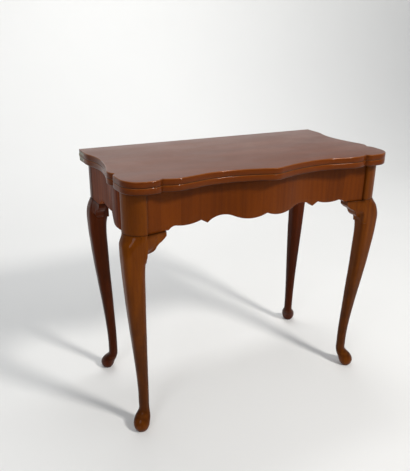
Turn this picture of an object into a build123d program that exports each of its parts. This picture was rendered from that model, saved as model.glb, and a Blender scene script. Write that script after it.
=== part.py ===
from build123d import *
import os

# Folding card table with a hinged top, a serpentine frame and cabriole legs, one of them on a swinging gate.
# Millimetres. X runs to the right seen from the front, Y to the rear and Z up.
# The origin is on the floor, in the middle of the overall width and depth.

# Overall sizes
table_height = 750.0
top_width = 828.0
top_depth = 429.0
leaf_thickness = 16.4
leaf_gap = 0.2
overrun = 5.0

# Plan of the leaves, depths counted back from the foremost point of the top
rear_side_inset = 4.0
serpentine_depth = 30.0
turret_front = 14.0
turret_radius = 51.0
turret_return = 22.0
front_notch_reach = 96.0
side_notch_reach = 104.0
notch_depth = 10.0
side_hollow = 20.0
hinge_edge_play = 0.1
notch_radius = 2.0
outer_arris = 1.6
inner_arris = 0.9
# Ends of the arcs of the front: across from the centre to the notch, back as a share of the serpentine depth
front_arc_shares = ((0.0, 0.0), (0.05, 0.09), (0.445, 0.973), (0.628, 0.883), (0.806, 0.512), (1.0, 0.80))
# Ends of the arcs of a side: back from the notch to the hinge edge, in as a share of the side hollow
side_arc_shares = ((0.0, 0.50), (0.127, 0.107), (0.442, 1.061), (0.721, 0.491))
side_notch_slope_share = 1.191

# Playing cloths
cloth_thickness = 0.8
cloth_recess = 1.0
cloth_border = 46.0
cloth_corner = 34.0
cloth_play = 0.2

# Hinges in the ends of the leaves
hinge_length = 48.0
hinge_width = 10.5
hinge_thickness = 2.6
hinge_setback = 2.2
hinge_eye_radius = 5.2
hinge_eye_play = 0.4
hinge_layer_play = 0.1
hinge_pin_radius = 1.4
hinge_pin_play = 0.05
hinge_screw_count = 3
screw_head_radius = 2.7
screw_shank_radius = 1.3
screw_length = 14.0

# Legs
leg_stock = 55.0
leg_side_inset = 42.0
front_leg_depth = 68.5
rear_leg_depth = 413.0
post_height = 111.0
post_corner_radius = 44.0
post_seam_radius = 8.5
knee_inset = 0.5
knee_reach = 30.8
knee_corner_radius = 17.0
bracket_pad = 40.0
pad_surplus = 1.0
rear_post_reach = 15.5
rear_post_front = 15.0
rear_back = 12.0
rear_corner_radius = 12.0
rear_flat_share = 0.42
# Shoulder of the knee: height as a share of the knee top, how far the reach is still the post's,
# and how far the corner is still as round as the post's
shoulder_shares = ((1.0, 1.0, 1.0), (0.990, 0.83, 0.90), (0.970, 0.48, 0.61), (0.950, 0.23, 0.36),
                   (0.929, 0.07, 0.125), (0.908, 0.0, 0.0))
# Below the knee: height as a share of the knee top, outward reach, inward reach and corner radius as shares
# of the leg stock
shank_shares = ((0.880, 0.557, 0.445, 0.305), (0.809, 0.522, 0.398, 0.295), (0.731, 0.456, 0.413, 0.290),
                (0.652, 0.385, 0.427, 0.280), (0.578, 0.305, 0.445, 0.270), (0.495, 0.213, 0.476, 0.262),
                (0.413, 0.124, 0.498, 0.252), (0.330, 0.045, 0.522, 0.245), (0.248, -0.018, 0.547, 0.243),
                (0.165, -0.050, 0.560, 0.247), (0.120, -0.050, 0.560, 0.250), (0.097, -0.030, 0.556, 0.256),
                (0.080, 0.120, 0.552, 0.330), (0.064, 0.320, 0.535, 0.420), (0.046, 0.404, 0.485, 0.440),
                (0.028, 0.410, 0.440, 0.420), (0.012, 0.355, 0.365, 0.355), (0.0, 0.270, 0.270, 0.265))
foot_toe_share = 0.415

# Front and side aprons
apron_back = 86.0
apron_end_face = 51.5
apron_hollow_face = 66.0
apron_centre_face = 42.0
apron_hollow_place_share = 0.51
# Faces of a side apron, counted in from the outer face of its front post
side_front_inset = 10.5
side_bulge_inset = 2.5
side_hollow_inset = 15.5
side_inner_inset = 35.5
side_bulge_share = 0.143
side_hollow_share = 0.509
apron_end_drop = 114.0
scallop_rise = 17.0
gate_gap = 1.5
# Arcs of half the front scallop, each by its ends and a place between them: across from the centre, and up
# as a share of the rise
front_scallop_shares = (((0.0, 0.68), (0.125, 0.09), (0.28, 0.70)),
                        ((0.28, 0.70), (0.39, 1.04), (0.494, 0.06)),
                        ((0.549, 0.68), (0.66, 0.27), (0.765, 0.50)),
                        ((0.765, 0.50), (0.80, 0.36), (0.823, 0.0)))
# Arcs of the side scallop, counted both ways from the middle of the apron
side_lobe_shares = ((-0.33, 1.40), (0.0, 0.94), (0.33, 1.40))
side_scallop_shares = (((0.33, 1.40), (0.43, 1.10), (0.50, 0.68)), ((0.50, 0.68), (0.57, 0.22), (0.66, 0.0)))

# Tenons
tenon_length = 20.0
tenon_thickness = 9.0
tenon_height = 70.0
tenon_top_inset = 18.0

# Knee brackets
bracket_reach = 61.0
side_bracket_reach = 45.0
bracket_drop = 56.0
bracket_face_inset = 3.0
# Arcs of the lower edge of a bracket from its tip to the leg, as shares of its reach and drop
bracket_arc_shares = (((0.0, 0.0), (0.26, 0.34), (0.41, 0.46)), ((0.41, 0.46), (0.56, 0.55), (0.66, 0.72)),
                      ((0.66, 0.72), (0.80, 0.90), (1.0, 1.0)))

# Back rails and the gate
rail_height = 99.0
inner_rail_thickness = 18.0
inner_rail_tongue = 10.0
rail_tongue_shoulder = 7.0
fly_rail_thickness = 22.0
fly_rail_inset = 2.0
fly_rail_top_play = 1.5
gate_top_play = 0.4
gate_ledge_play = 0.8
knuckle_place = 30.0
knuckle_count = 5
knuckle_play = 0.3
knuckle_shoulder_play = 0.6
knuckle_pin_radius = 3.5
knuckle_pin_play = 0.05
rail_tenon_length = 16.0
packing_end_inset = 20.0

# Brace and blocks under the top
brace_width = 26.0
brace_height = 60.0
brace_tongue = 8.0
block_size = 20.0
block_length = 60.0
block_place_share = 0.5
block_screw_length = 26.0

# Derived levels
leaf_underside = table_height - 2 * leaf_thickness - leaf_gap
hinge_level = table_height - leaf_thickness - leaf_gap / 2
apron_end = leaf_underside - apron_end_drop
knee_top = leaf_underside - post_height
rail_bottom = leaf_underside - rail_height
half_width = top_width / 2
rear_half_width = half_width - rear_side_inset
leg_centre = half_width - leg_side_inset
overall_depth = rear_leg_depth + foot_toe_share * leg_stock
front_y = -overall_depth / 2
hinge_y = front_y + top_depth
front_leg_y = front_y + front_leg_depth
rear_leg_y = front_y + rear_leg_depth
post_inner = leg_centre - leg_stock / 2
post_rear_y = front_leg_y + leg_stock / 2
rear_post_front_y = rear_leg_y - rear_post_front
rear_back_y = rear_leg_y + rear_back
rear_post_outer = leg_centre + rear_post_reach
post_outer = leg_centre + leg_stock / 2
side_apron_front_face = post_outer - side_front_inset
side_apron_bulge_face = post_outer - side_bulge_inset
side_apron_hollow_face = post_outer - side_hollow_inset
side_apron_inner = post_outer - side_inner_inset
rear_apron_face = rear_post_outer
apron_back_y = front_y + apron_back
gate_side_end_y = rear_post_front_y - gate_gap
fly_rail_back_y = rear_back_y - fly_rail_inset
fly_rail_y = fly_rail_back_y - fly_rail_thickness / 2
fly_rail_front_y = fly_rail_back_y - fly_rail_thickness
inner_rail_back_y = gate_side_end_y
inner_rail_front_y = inner_rail_back_y - inner_rail_thickness
sides = (("left", -1), ("right", 1))

os.makedirs("parts", exist_ok=True)


def write(piece, name):
    """Label a finished piece and write it under its node name."""
    piece.part.label = name
    export_step(piece.part, f"parts/{name}.step")


def block(x_range, y_range, z_range, mode=Mode.ADD):
    """Rectangular block between pairs of coordinates, in the part being built."""
    size = [abs(r[1] - r[0]) for r in (x_range, y_range, z_range)]
    middle = [(r[0] + r[1]) / 2 for r in (x_range, y_range, z_range)]
    with Locations(Location(tuple(middle))):
        Box(*size, mode=mode)


def arc_chain(points, tangent):
    """Arcs from point to point, each starting in the direction in which the one before it ends."""
    for start, end in zip(points, points[1:]):
        tangent = TangentArc(start, end, tangent=tangent) % 1
    return tangent


# Leaves
turret_y = front_y + turret_front
front_notch = (half_width - front_notch_reach, turret_y + notch_depth)
side_notch = (half_width - notch_depth, turret_y + side_notch_reach)


def half_outline():
    """Right half of a leaf's plan, from the centre of the front to the centre of the hinge edge."""
    rear_corner = (rear_half_width, hinge_y - hinge_edge_play)
    arc_chain([(x * front_notch[0], front_y + y * serpentine_depth) for x, y in front_arc_shares[:-1]]
              + [front_notch], (1, 0))
    TangentArc((front_notch[0] + turret_return, turret_y), front_notch, tangent=(-1, 0))
    Line((front_notch[0] + turret_return, turret_y), (half_width - turret_radius, turret_y))
    TangentArc((half_width - turret_radius, turret_y), (half_width, turret_y + turret_radius), tangent=(1, 0))
    Line((half_width, turret_y + turret_radius), (half_width, side_notch[1] - turret_return))
    TangentArc((half_width, side_notch[1] - turret_return), side_notch, tangent=(0, 1))
    last = [(half_width - x * side_hollow, side_notch[1] + y * (rear_corner[1] - side_notch[1]))
            for y, x in side_arc_shares[1:]]
    out = arc_chain([side_notch] + last, (1, side_notch_slope_share))
    # The last arc ends on the straight end, as far past the crossing of its tangents as it starts before
    run = (rear_corner[0] - last[-1][0]) / out.X
    straight = (rear_corner[0], last[-1][1] + run * out.Y + run)
    TangentArc(last[-1], straight, tangent=out)
    Line(straight, rear_corner)
    Line(rear_corner, (0, rear_corner[1]))


def leaf(bottom, outer_level):
    """One leaf: its serpentine plan, rounded on its outer face and chamfered where the leaves meet."""
    inner_level = 2 * bottom + leaf_thickness - outer_level
    with BuildPart() as plate:
        with BuildSketch(Plane.XY.offset(bottom)):
            with BuildLine():
                half_outline()
                mirror(about=Plane.YZ)
            make_face()
        extrude(amount=leaf_thickness)
        fillet([edge for edge in plate.edges().filter_by(Axis.Z)
                if min(abs(abs(edge.center().X) - x) + abs(edge.center().Y - y)
                       for x, y in (front_notch, side_notch)) < notch_radius], notch_radius)
        for level, soften, size in ((outer_level, fillet, outer_arris), (inner_level, chamfer, inner_arris)):
            ring = plate.edges().filter_by_position(Axis.Z, level - size / 2, level + size / 2)
            soften(ring.sort_by(Axis.Y)[:-1], size)
    return plate.part


def cloth_field(level, thickness, play):
    """The cloth's field, open at the hinge edge, with play on its other sides."""
    front = front_y + serpentine_depth + cloth_border + play
    back = hinge_y - hinge_edge_play
    width = 2 * (rear_half_width - cloth_border - play)
    with BuildPart() as field:
        with BuildSketch(Plane.XY.offset(level)):
            with Locations((0, (front + back) / 2)):
                Rectangle(width, back - front)
        extrude(amount=thickness)
        fillet(field.edges().filter_by(Axis.Z).group_by(Axis.Y)[0], cloth_corner)
    return field.part


# Hinges
def hinge_eye(side, layer, radius, play):
    """Disc round the pin, in the outer or inner layer of a hinge."""
    depth = (hinge_thickness - hinge_layer_play) / 2
    outer = rear_half_width - layer * (depth + hinge_layer_play)
    inner = outer - depth
    with BuildPart() as eye:
        with BuildSketch(Plane.YZ.offset(side * (outer + inner) / 2)):
            with Locations((hinge_y, hinge_level)):
                Circle(radius)
        extrude(amount=depth / 2 + play, both=True)
    return eye.part


def hinge_strip(side, face):
    """Straight part of a hinge plate, let into the end of a leaf; face is 1 above the joint of the leaves."""
    near = hinge_level + face * (leaf_gap / 2 + hinge_setback)
    far = near + face * hinge_width
    back = hinge_y - hinge_edge_play
    with BuildPart() as strip:
        block((side * rear_half_width, side * (rear_half_width - hinge_thickness)),
              (back - hinge_length, back), (near, far))
        ends = strip.edges().filter_by(Axis.X).group_by(Axis.Y)[0]
        fillet(ends, hinge_width / 4)
    return strip.part


def hinge_plate(side, face, pin_hole):
    """A strip with its eye in one layer and room for the other eye in the other layer."""
    layer = 0 if face < 0 else 1
    with BuildPart() as plate:
        add(hinge_strip(side, face))
        add(hinge_eye(side, 1 - layer, hinge_eye_radius + hinge_eye_play, hinge_layer_play),
            mode=Mode.SUBTRACT)
        add(hinge_eye(side, layer, hinge_eye_radius, 0))
        add(hinge_bore(side, pin_hole), mode=Mode.SUBTRACT)
        add(hinge_screws(side, face), mode=Mode.SUBTRACT)
    return plate.part


def hinge_bore(side, radius):
    """Rod along the hinge line through the thickness of a hinge."""
    with BuildPart() as rod:
        with BuildSketch(Plane.YZ.offset(side * (rear_half_width - hinge_thickness / 2))):
            with Locations((hinge_y, hinge_level)):
                Circle(radius)
        extrude(amount=hinge_thickness / 2, both=True)
    return rod.part


def hinge_pocket(side, face):
    """Room in the end of a leaf for its own plate and for both eyes."""
    with BuildPart() as pocket:
        add(hinge_strip(side, face))
        add(hinge_bore(side, hinge_eye_radius + hinge_eye_play))
    return pocket.part


def hinge_screws(side, face):
    """Countersunk screws of one hinge plate."""
    level = hinge_level + face * (leaf_gap / 2 + hinge_setback + hinge_width / 2)
    first = hinge_y - hinge_length + hinge_width / 2
    pitch = (hinge_length - hinge_width / 2 - 2 * hinge_eye_radius) / (hinge_screw_count - 1)
    surface = Plane((side * rear_half_width, first, level), x_dir=(0, 1, 0), z_dir=(-side, 0, 0))
    with BuildPart(surface) as screws:
        with Locations(*[(count * pitch, 0) for count in range(hinge_screw_count)]):
            Cone(screw_head_radius, screw_shank_radius, hinge_thickness,
                 align=(Align.CENTER, Align.CENTER, Align.MIN))
            Cylinder(screw_shank_radius, screw_length, align=(Align.CENTER, Align.CENTER, Align.MIN))
    return screws.part


# Legs
def leg_section(centre, outward, reach, inner, radii):
    """Outline of a leg at one level: a square whose outer corner points outward, each corner rounded."""
    x, y = centre
    out_x, out_y = outward
    FilletPolyline((x + out_x * reach, y + out_y * reach), (x - out_x * inner, y + out_y * reach),
                   (x - out_x * inner, y - out_y * inner), (x + out_x * reach, y - out_y * inner),
                   radius=radii, close=True)


def leg_stations(top_reach, top_radius, seam_radius):
    """Level, outward reach, inward reach and corner radii of each section, from the post down to the floor."""
    inner = leg_stock / 2 - knee_inset
    stations = []
    for height, reach_share, round_share in shoulder_shares:
        reach = knee_reach + reach_share * (top_reach - knee_reach)
        outer_radius = knee_corner_radius + round_share * (top_radius - knee_corner_radius)
        side_radius = knee_corner_radius + round_share * (seam_radius - knee_corner_radius)
        radii = (outer_radius, side_radius, knee_corner_radius, side_radius)
        stations.append((height * knee_top, reach, inner, radii))
    for height, reach_share, inner_share, radius_share in shank_shares:
        radii = (radius_share * leg_stock,) * len(stations[0][-1])
        stations.append((height * knee_top, reach_share * leg_stock, inner_share * leg_stock, radii))
    return stations


def carved_leg(side, end):
    """Knee, ankle and pad foot of a leg; end is -1 at the front and 1 at the rear."""
    centre = (side * leg_centre, front_leg_y if end < 0 else rear_leg_y)
    if end < 0:
        stations = leg_stations(leg_stock / 2, post_corner_radius, post_seam_radius)
    else:
        stations = leg_stations(rear_post_reach, rear_corner_radius, rear_corner_radius)
    with BuildPart() as carved:
        for level, reach, inner, radii in stations:
            with BuildSketch(Plane.XY.offset(level)):
                with BuildLine():
                    leg_section(centre, (side, end), reach, inner, radii)
                make_face()
        loft()
    return carved.part


def bracket_seat(side, end):
    """Flat pad on the two inner faces of a knee, which the brackets are glued to."""
    x = side * leg_centre
    y = front_leg_y if end < 0 else rear_leg_y
    inner = leg_stock / 2
    outer = bracket_pad - inner
    with BuildPart() as pad:
        block((x - side * inner, x + side * outer), (y - end * inner, y + end * outer),
              (apron_end - bracket_drop - pad_surplus, knee_top))
    return pad.part


def tenon(start, stop, across, axis, mode=Mode.ADD):
    """Tenon between two places along an axis, with its middle at another place across it."""
    length = (start, stop)
    width = (across - tenon_thickness / 2, across + tenon_thickness / 2)
    top = leaf_underside - tenon_top_inset
    levels = (top - tenon_height, top)
    if axis == Axis.X:
        block(length, width, levels, mode)
    else:
        block(width, length, levels, mode)


front_tenon_y = (front_y + apron_end_face + apron_back_y) / 2
side_tenon_x = side_apron_inner + tenon_thickness


def front_leg(side):
    """Front leg and its post in one piece, with mortises for two aprons."""
    with BuildPart() as whole:
        add(carved_leg(side, -1))
        add(bracket_seat(side, -1))
        with BuildSketch(Plane.XY.offset(knee_top)):
            with BuildLine():
                leg_section((side * leg_centre, front_leg_y), (side, -1), leg_stock / 2, leg_stock / 2,
                            (post_corner_radius, post_seam_radius, 0, post_seam_radius))
            make_face()
        extrude(amount=leaf_underside - knee_top)
        tenon(side * post_inner, side * (post_inner + tenon_length), front_tenon_y, Axis.X, Mode.SUBTRACT)
        tenon(post_rear_y, post_rear_y - tenon_length, side * side_tenon_x, Axis.Y, Mode.SUBTRACT)
    return whole.part


def rear_leg(side, top, ledge):
    """Rear leg with a flat back, up to the given top; the ledge is the top of its knee under the apron."""
    x = side * leg_centre
    outer = side * (leg_centre + leg_stock)
    with BuildPart() as whole:
        add(carved_leg(side, 1))
        add(bracket_seat(side, 1))
        inner = side * post_inner
        block((inner, outer), (rear_post_front_y, rear_post_front_y - leg_stock), (ledge, top), Mode.SUBTRACT)
        block((inner, side * rear_post_outer), (rear_post_front_y, rear_back_y), (ledge, top))
        block((inner - side * leg_stock, outer), (rear_back_y, rear_back_y + leg_stock),
              (knee_top * rear_flat_share, top), Mode.SUBTRACT)
    return whole.part


# Brackets under the aprons
def bracket_profile(reach, drop):
    """Side view of a bracket: along from the leg, down from the apron."""
    Line((0, 0), (reach, 0))
    for run in bracket_arc_shares:
        ThreePointArc(*[(reach * (1 - along), -drop * down) for along, down in run])
    Line((0, -drop), (0, 0))


def bracket(origin, along, across, reach, thickness):
    """Bracket from its corner against leg and apron, reaching along the apron and across its thickness."""
    side_view = Plane(origin, x_dir=along, z_dir=Vector(*along).cross(Vector(0, 0, 1)))
    direction = side_view.z_dir.dot(Vector(*across))
    with BuildPart() as shape:
        with BuildSketch(side_view):
            with BuildLine():
                bracket_profile(reach, bracket_drop)
            make_face()
        extrude(amount=direction * thickness)
    return shape.part


for side_name, side in sides:
    with BuildPart() as front_bracket:
        add(bracket((side * post_inner, front_y + apron_end_face + bracket_face_inset, apron_end),
                    (-side, 0, 0), (0, 1, 0), bracket_reach,
                    apron_back - apron_end_face - bracket_face_inset))
    write(front_bracket, f"{side_name}_front_bracket")

    with BuildPart() as side_bracket:
        add(bracket((side * (side_apron_front_face - bracket_face_inset), post_rear_y, apron_end),
                    (0, 1, 0), (-side, 0, 0), side_bracket_reach,
                    side_apron_front_face - bracket_face_inset - side_apron_inner))
    write(side_bracket, f"{side_name}_side_bracket")

    moves = gate_ledge_play if side < 0 else 0
    with BuildPart() as rear_bracket:
        add(bracket((side * (rear_apron_face - bracket_face_inset), rear_leg_y - leg_stock / 2,
                     apron_end - moves),
                    (0, -1, 0), (-side, 0, 0), side_bracket_reach,
                    rear_apron_face - bracket_face_inset - side_apron_inner))
    write(rear_bracket, "gate_bracket" if side < 0 else "rear_right_bracket")


# Aprons
def middle(first, second):
    """Place halfway between two places."""
    return tuple((a + b) / 2 for a, b in zip(first, second))


def front_apron_plan():
    """Right half of the front apron's plan."""
    centre = (0, front_y + apron_centre_face)
    hollow = (apron_hollow_place_share * post_inner, front_y + apron_hollow_face)
    end = (post_inner, front_y + apron_end_face)
    arc_chain([centre, middle(centre, hollow), hollow, end], (1, 0))
    Line(end, (post_inner, apron_back_y))
    Line((post_inner, apron_back_y), (0, apron_back_y))


def front_scallop():
    """Right half of the region that is cut away under the front apron."""
    runs = [[(across * post_inner, apron_end + up * scallop_rise) for across, up in run]
            for run in front_scallop_shares]
    for run in runs:
        ThreePointArc(*run)
    Line(runs[1][-1], runs[2][0])
    last = runs[-1][-1]
    Line(last, (last[0], apron_end - overrun))
    Line((last[0], apron_end - overrun), (0, apron_end - overrun))


with BuildPart() as front_apron:
    with BuildSketch(Plane.XY.offset(apron_end)):
        with BuildLine():
            front_apron_plan()
            mirror(about=Plane.YZ)
        make_face()
    extrude(amount=leaf_underside - apron_end)
    with BuildSketch(Plane.XZ.offset(-apron_back_y - overrun)):
        with BuildLine():
            front_scallop()
            mirror(about=Plane.YZ)
        make_face()
    extrude(amount=apron_back + overrun, mode=Mode.SUBTRACT)
    for side_name, side in sides:
        tenon(side * post_inner, side * (post_inner + tenon_length), front_tenon_y, Axis.X)
    block((-brace_width / 2, brace_width / 2), (apron_back_y, apron_back_y - brace_tongue),
          (leaf_underside - brace_height, leaf_underside), Mode.SUBTRACT)
write(front_apron, "front_apron")


def side_apron(side, rear_end):
    """Side apron from the front post to its rear end, with a swelling face and a scalloped edge."""
    length = gate_side_end_y - post_rear_y
    front_end = (side * side_apron_front_face, post_rear_y)
    bulge = (side * side_apron_bulge_face, post_rear_y + side_bulge_share * length)
    hollow = (side * side_apron_hollow_face, post_rear_y + side_hollow_share * length)
    rear = (side * rear_apron_face, rear_end)
    middle_y = post_rear_y + length / 2
    lobe, *scallop = [[(middle_y + along * length / 2, apron_end + up * scallop_rise) for along, up in run]
                      for run in (side_lobe_shares, *side_scallop_shares)]
    far_scallop = [[(2 * middle_y - y, z) for y, z in run] for run in scallop]
    with BuildPart() as apron:
        with BuildSketch(Plane.XY.offset(apron_end)):
            with BuildLine():
                TangentArc(bulge, front_end, tangent=(0, -1))
                arc_chain([bulge, middle(bulge, hollow), hollow, rear], (0, 1))
                Line(rear, (side * side_apron_inner, rear_end))
                Line((side * side_apron_inner, rear_end), (side * side_apron_inner, post_rear_y))
                Line((side * side_apron_inner, post_rear_y), front_end)
            make_face()
        extrude(amount=leaf_underside - apron_end)
        with BuildSketch(Plane.YZ.offset(side * leg_centre)):
            with BuildLine():
                for run in (lobe, *scallop, *far_scallop):
                    ThreePointArc(*run)
                ends = (scallop[-1][-1], far_scallop[-1][-1])
                Polyline(ends[0], (ends[0][0], apron_end - overrun), (ends[1][0], apron_end - overrun),
                         ends[1])
            make_face()
        extrude(amount=leg_stock, both=True, mode=Mode.SUBTRACT)
        tenon(post_rear_y, post_rear_y - tenon_length, side * side_tenon_x, Axis.Y)
        block((side * side_apron_inner, side * (side_apron_inner + inner_rail_tongue)),
              (inner_rail_front_y, inner_rail_back_y - rail_tongue_shoulder),
              (rail_bottom, leaf_underside), Mode.SUBTRACT)
    return apron.part


with BuildPart() as left_side_apron:
    add(side_apron(-1, gate_side_end_y))
write(left_side_apron, "left_side_apron")

with BuildPart() as right_side_apron:
    add(side_apron(1, rear_post_front_y))
    tenon(rear_post_front_y, rear_post_front_y + tenon_length, side_tenon_x, Axis.Y)
write(right_side_apron, "right_side_apron")


for side_name, side in sides:
    with BuildPart() as front_post_leg:
        add(front_leg(side))
    write(front_post_leg, f"front_{side_name}_leg")

with BuildPart() as rear_right_leg:
    add(rear_leg(1, leaf_underside, apron_end))
    tenon(rear_post_front_y, rear_post_front_y + tenon_length, side_tenon_x, Axis.Y, Mode.SUBTRACT)
    tenon(post_inner, post_inner + rail_tenon_length, fly_rail_y, Axis.X, Mode.SUBTRACT)
write(rear_right_leg, "rear_right_leg")

with BuildPart() as gate_leg:
    add(rear_leg(-1, leaf_underside - gate_top_play, apron_end - gate_ledge_play))
    tenon(-post_inner, -post_inner - rail_tenon_length, fly_rail_y, Axis.X, Mode.SUBTRACT)
write(gate_leg, "gate_leg")


# Rails of the back and of the gate
fly_rail_top = leaf_underside - fly_rail_top_play
knuckle_pitch = (fly_rail_top - rail_bottom) / knuckle_count
knuckle_radius = fly_rail_thickness / 2
knuckle_shoulder = knuckle_radius + knuckle_shoulder_play
rail_back = (fly_rail_front_y, fly_rail_back_y)


def knuckles(turn, first):
    """Every second knuckle of the joint; turn is 1 for tongues that reach in from the right."""
    for count in range(first, knuckle_count, 2):
        level = rail_bottom + count * knuckle_pitch
        levels = (level + (knuckle_play / 2 if count else 0), level + knuckle_pitch - knuckle_play / 2)
        block((knuckle_place, knuckle_place + turn * knuckle_shoulder), rail_back, levels)
        with Locations(Location((knuckle_place, fly_rail_y, (levels[0] + levels[1]) / 2))):
            Cylinder(knuckle_radius, levels[1] - levels[0])


def knuckle_bore(radius, mode):
    """Rod on the axis of the gate, through all knuckles."""
    with Locations(Location((knuckle_place, fly_rail_y, (rail_bottom + fly_rail_top) / 2))):
        Cylinder(radius, fly_rail_top - rail_bottom, mode=mode)


with BuildPart() as knuckle_rail:
    block((knuckle_place + knuckle_shoulder, post_inner), rail_back, (rail_bottom, leaf_underside))
    knuckles(1, 0)
    tenon(post_inner, post_inner + rail_tenon_length, fly_rail_y, Axis.X)
    knuckle_bore(knuckle_pin_radius, Mode.SUBTRACT)
write(knuckle_rail, "knuckle_rail")

with BuildPart() as fly_rail:
    block((-post_inner, knuckle_place - knuckle_shoulder), rail_back, (rail_bottom, fly_rail_top))
    knuckles(-1, 1)
    tenon(-post_inner, -post_inner - rail_tenon_length, fly_rail_y, Axis.X)
    knuckle_bore(knuckle_pin_radius + knuckle_pin_play, Mode.SUBTRACT)
write(fly_rail, "fly_rail")

with BuildPart() as knuckle_pin:
    knuckle_bore(knuckle_pin_radius, Mode.ADD)
write(knuckle_pin, "knuckle_pin")

with BuildPart() as packing_strip:
    block((knuckle_place + packing_end_inset, post_inner), (inner_rail_back_y, fly_rail_front_y),
          (rail_bottom, leaf_underside))
write(packing_strip, "packing_strip")

with BuildPart() as inner_back_rail:
    block((-side_apron_inner, side_apron_inner), (inner_rail_front_y, inner_rail_back_y),
          (rail_bottom, leaf_underside))
    block((-side_apron_inner - inner_rail_tongue, side_apron_inner + inner_rail_tongue),
          (inner_rail_front_y, inner_rail_back_y - rail_tongue_shoulder), (rail_bottom, leaf_underside))
    block((-brace_width / 2, brace_width / 2), (inner_rail_front_y, inner_rail_front_y + brace_tongue),
          (leaf_underside - brace_height, leaf_underside), Mode.SUBTRACT)
write(inner_back_rail, "inner_back_rail")

with BuildPart() as centre_brace:
    block((-brace_width / 2, brace_width / 2),
          (apron_back_y - brace_tongue, inner_rail_front_y + brace_tongue),
          (leaf_underside - brace_height, leaf_underside))
write(centre_brace, "centre_brace")


# Blocks under the fixed leaf and their screws
block_x = block_place_share * post_inner
block_middle_y = (post_rear_y + gate_side_end_y) / 2
block_places = (
    ("front_left", (-block_x, apron_back_y + block_size / 2), (block_length, block_size)),
    ("front_right", (block_x, apron_back_y + block_size / 2), (block_length, block_size)),
    ("back_left", (-block_x, inner_rail_front_y - block_size / 2), (block_length, block_size)),
    ("back_right", (block_x, inner_rail_front_y - block_size / 2), (block_length, block_size)),
    ("left", (-side_apron_inner + block_size / 2, block_middle_y), (block_size, block_length)),
    ("right", (side_apron_inner - block_size / 2, block_middle_y), (block_size, block_length)),
)


def block_screw(place):
    """Countersunk screw up through a block into the fixed leaf."""
    with Locations(Location((*place, leaf_underside - block_size))):
        Cone(screw_head_radius, screw_shank_radius, hinge_thickness,
             align=(Align.CENTER, Align.CENTER, Align.MIN))
        Cylinder(screw_shank_radius, block_screw_length, align=(Align.CENTER, Align.CENTER, Align.MIN))


with BuildPart() as block_screws:
    for name, place, size in block_places:
        block_screw(place)
write(block_screws, "block_screws")

for name, place, size in block_places:
    with BuildPart() as top_block:
        block((place[0] - size[0] / 2, place[0] + size[0] / 2),
              (place[1] - size[1] / 2, place[1] + size[1] / 2), (leaf_underside - block_size, leaf_underside))
        add(block_screws.part, mode=Mode.SUBTRACT)
    write(top_block, f"{name}_block")


# Leaves, cloths and hinges
cloth_bottom = {-1: hinge_level - leaf_gap / 2 - cloth_recess, 1: hinge_level + leaf_gap / 2}
cloth_level = {-1: cloth_bottom[-1], 1: cloth_bottom[1] + cloth_recess - cloth_thickness}
for face, leaf_name in ((-1, "fixed"), (1, "flap")):
    bottom = leaf_underside if face < 0 else hinge_level + leaf_gap / 2
    with BuildPart() as finished_leaf:
        add(leaf(bottom, leaf_underside if face < 0 else table_height))
        add(cloth_field(cloth_bottom[face], cloth_recess, 0), mode=Mode.SUBTRACT)
        for side_name, side in sides:
            add(hinge_pocket(side, face), mode=Mode.SUBTRACT)
            add(hinge_screws(side, face), mode=Mode.SUBTRACT)
        if face < 0:
            add(block_screws.part, mode=Mode.SUBTRACT)
    write(finished_leaf, f"{leaf_name}_leaf")

    with BuildPart() as cloth:
        add(cloth_field(cloth_level[face], cloth_thickness, cloth_play))
    write(cloth, f"{leaf_name}_cloth")

    for side_name, side in sides:
        with BuildPart() as plate:
            add(hinge_plate(side, face, hinge_pin_radius + (hinge_pin_play if face > 0 else 0)))
        write(plate, f"{side_name}_{leaf_name}_hinge_plate")

        with BuildPart() as screws:
            add(hinge_screws(side, face))
        write(screws, f"{side_name}_{leaf_name}_hinge_screws")

for side_name, side in sides:
    with BuildPart() as pin:
        add(hinge_bore(side, hinge_pin_radius))
    write(pin, f"{side_name}_hinge_pin")
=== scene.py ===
"""Folding card table with a serpentine top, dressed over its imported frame."""
import logging
import math
from dataclasses import dataclass, field
from enum import Enum
from functools import cache

import bpy
import numpy as np
from mathutils import Matrix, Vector
from numpy.typing import NDArray


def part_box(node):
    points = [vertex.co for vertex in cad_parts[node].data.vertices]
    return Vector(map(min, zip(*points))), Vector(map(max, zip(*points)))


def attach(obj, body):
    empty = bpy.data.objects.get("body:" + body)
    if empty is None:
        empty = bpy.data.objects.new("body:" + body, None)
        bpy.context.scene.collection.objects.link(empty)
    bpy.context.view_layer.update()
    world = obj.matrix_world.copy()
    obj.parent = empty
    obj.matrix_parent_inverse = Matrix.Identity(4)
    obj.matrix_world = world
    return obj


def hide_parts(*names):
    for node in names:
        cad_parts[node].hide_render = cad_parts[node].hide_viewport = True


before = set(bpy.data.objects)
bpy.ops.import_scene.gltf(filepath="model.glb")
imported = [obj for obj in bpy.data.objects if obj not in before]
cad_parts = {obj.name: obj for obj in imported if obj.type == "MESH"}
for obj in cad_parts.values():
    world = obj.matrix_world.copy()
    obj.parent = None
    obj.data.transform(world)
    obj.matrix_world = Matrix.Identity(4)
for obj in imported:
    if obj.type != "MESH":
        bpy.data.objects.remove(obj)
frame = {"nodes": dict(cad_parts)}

Array = NDArray[np.float64]
Colour = tuple[float, float, float, float]
Point = tuple[float, float, float]
Shares = tuple[tuple[float, ...], ...]
Arcs = tuple[Shares, ...]
Material = bpy.types.Material
Node = bpy.types.Node
Piece = bpy.types.Object
Socket = bpy.types.NodeSocket

CRISP_ANGLE = 40.0

log = logging.getLogger("card_table")


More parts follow.
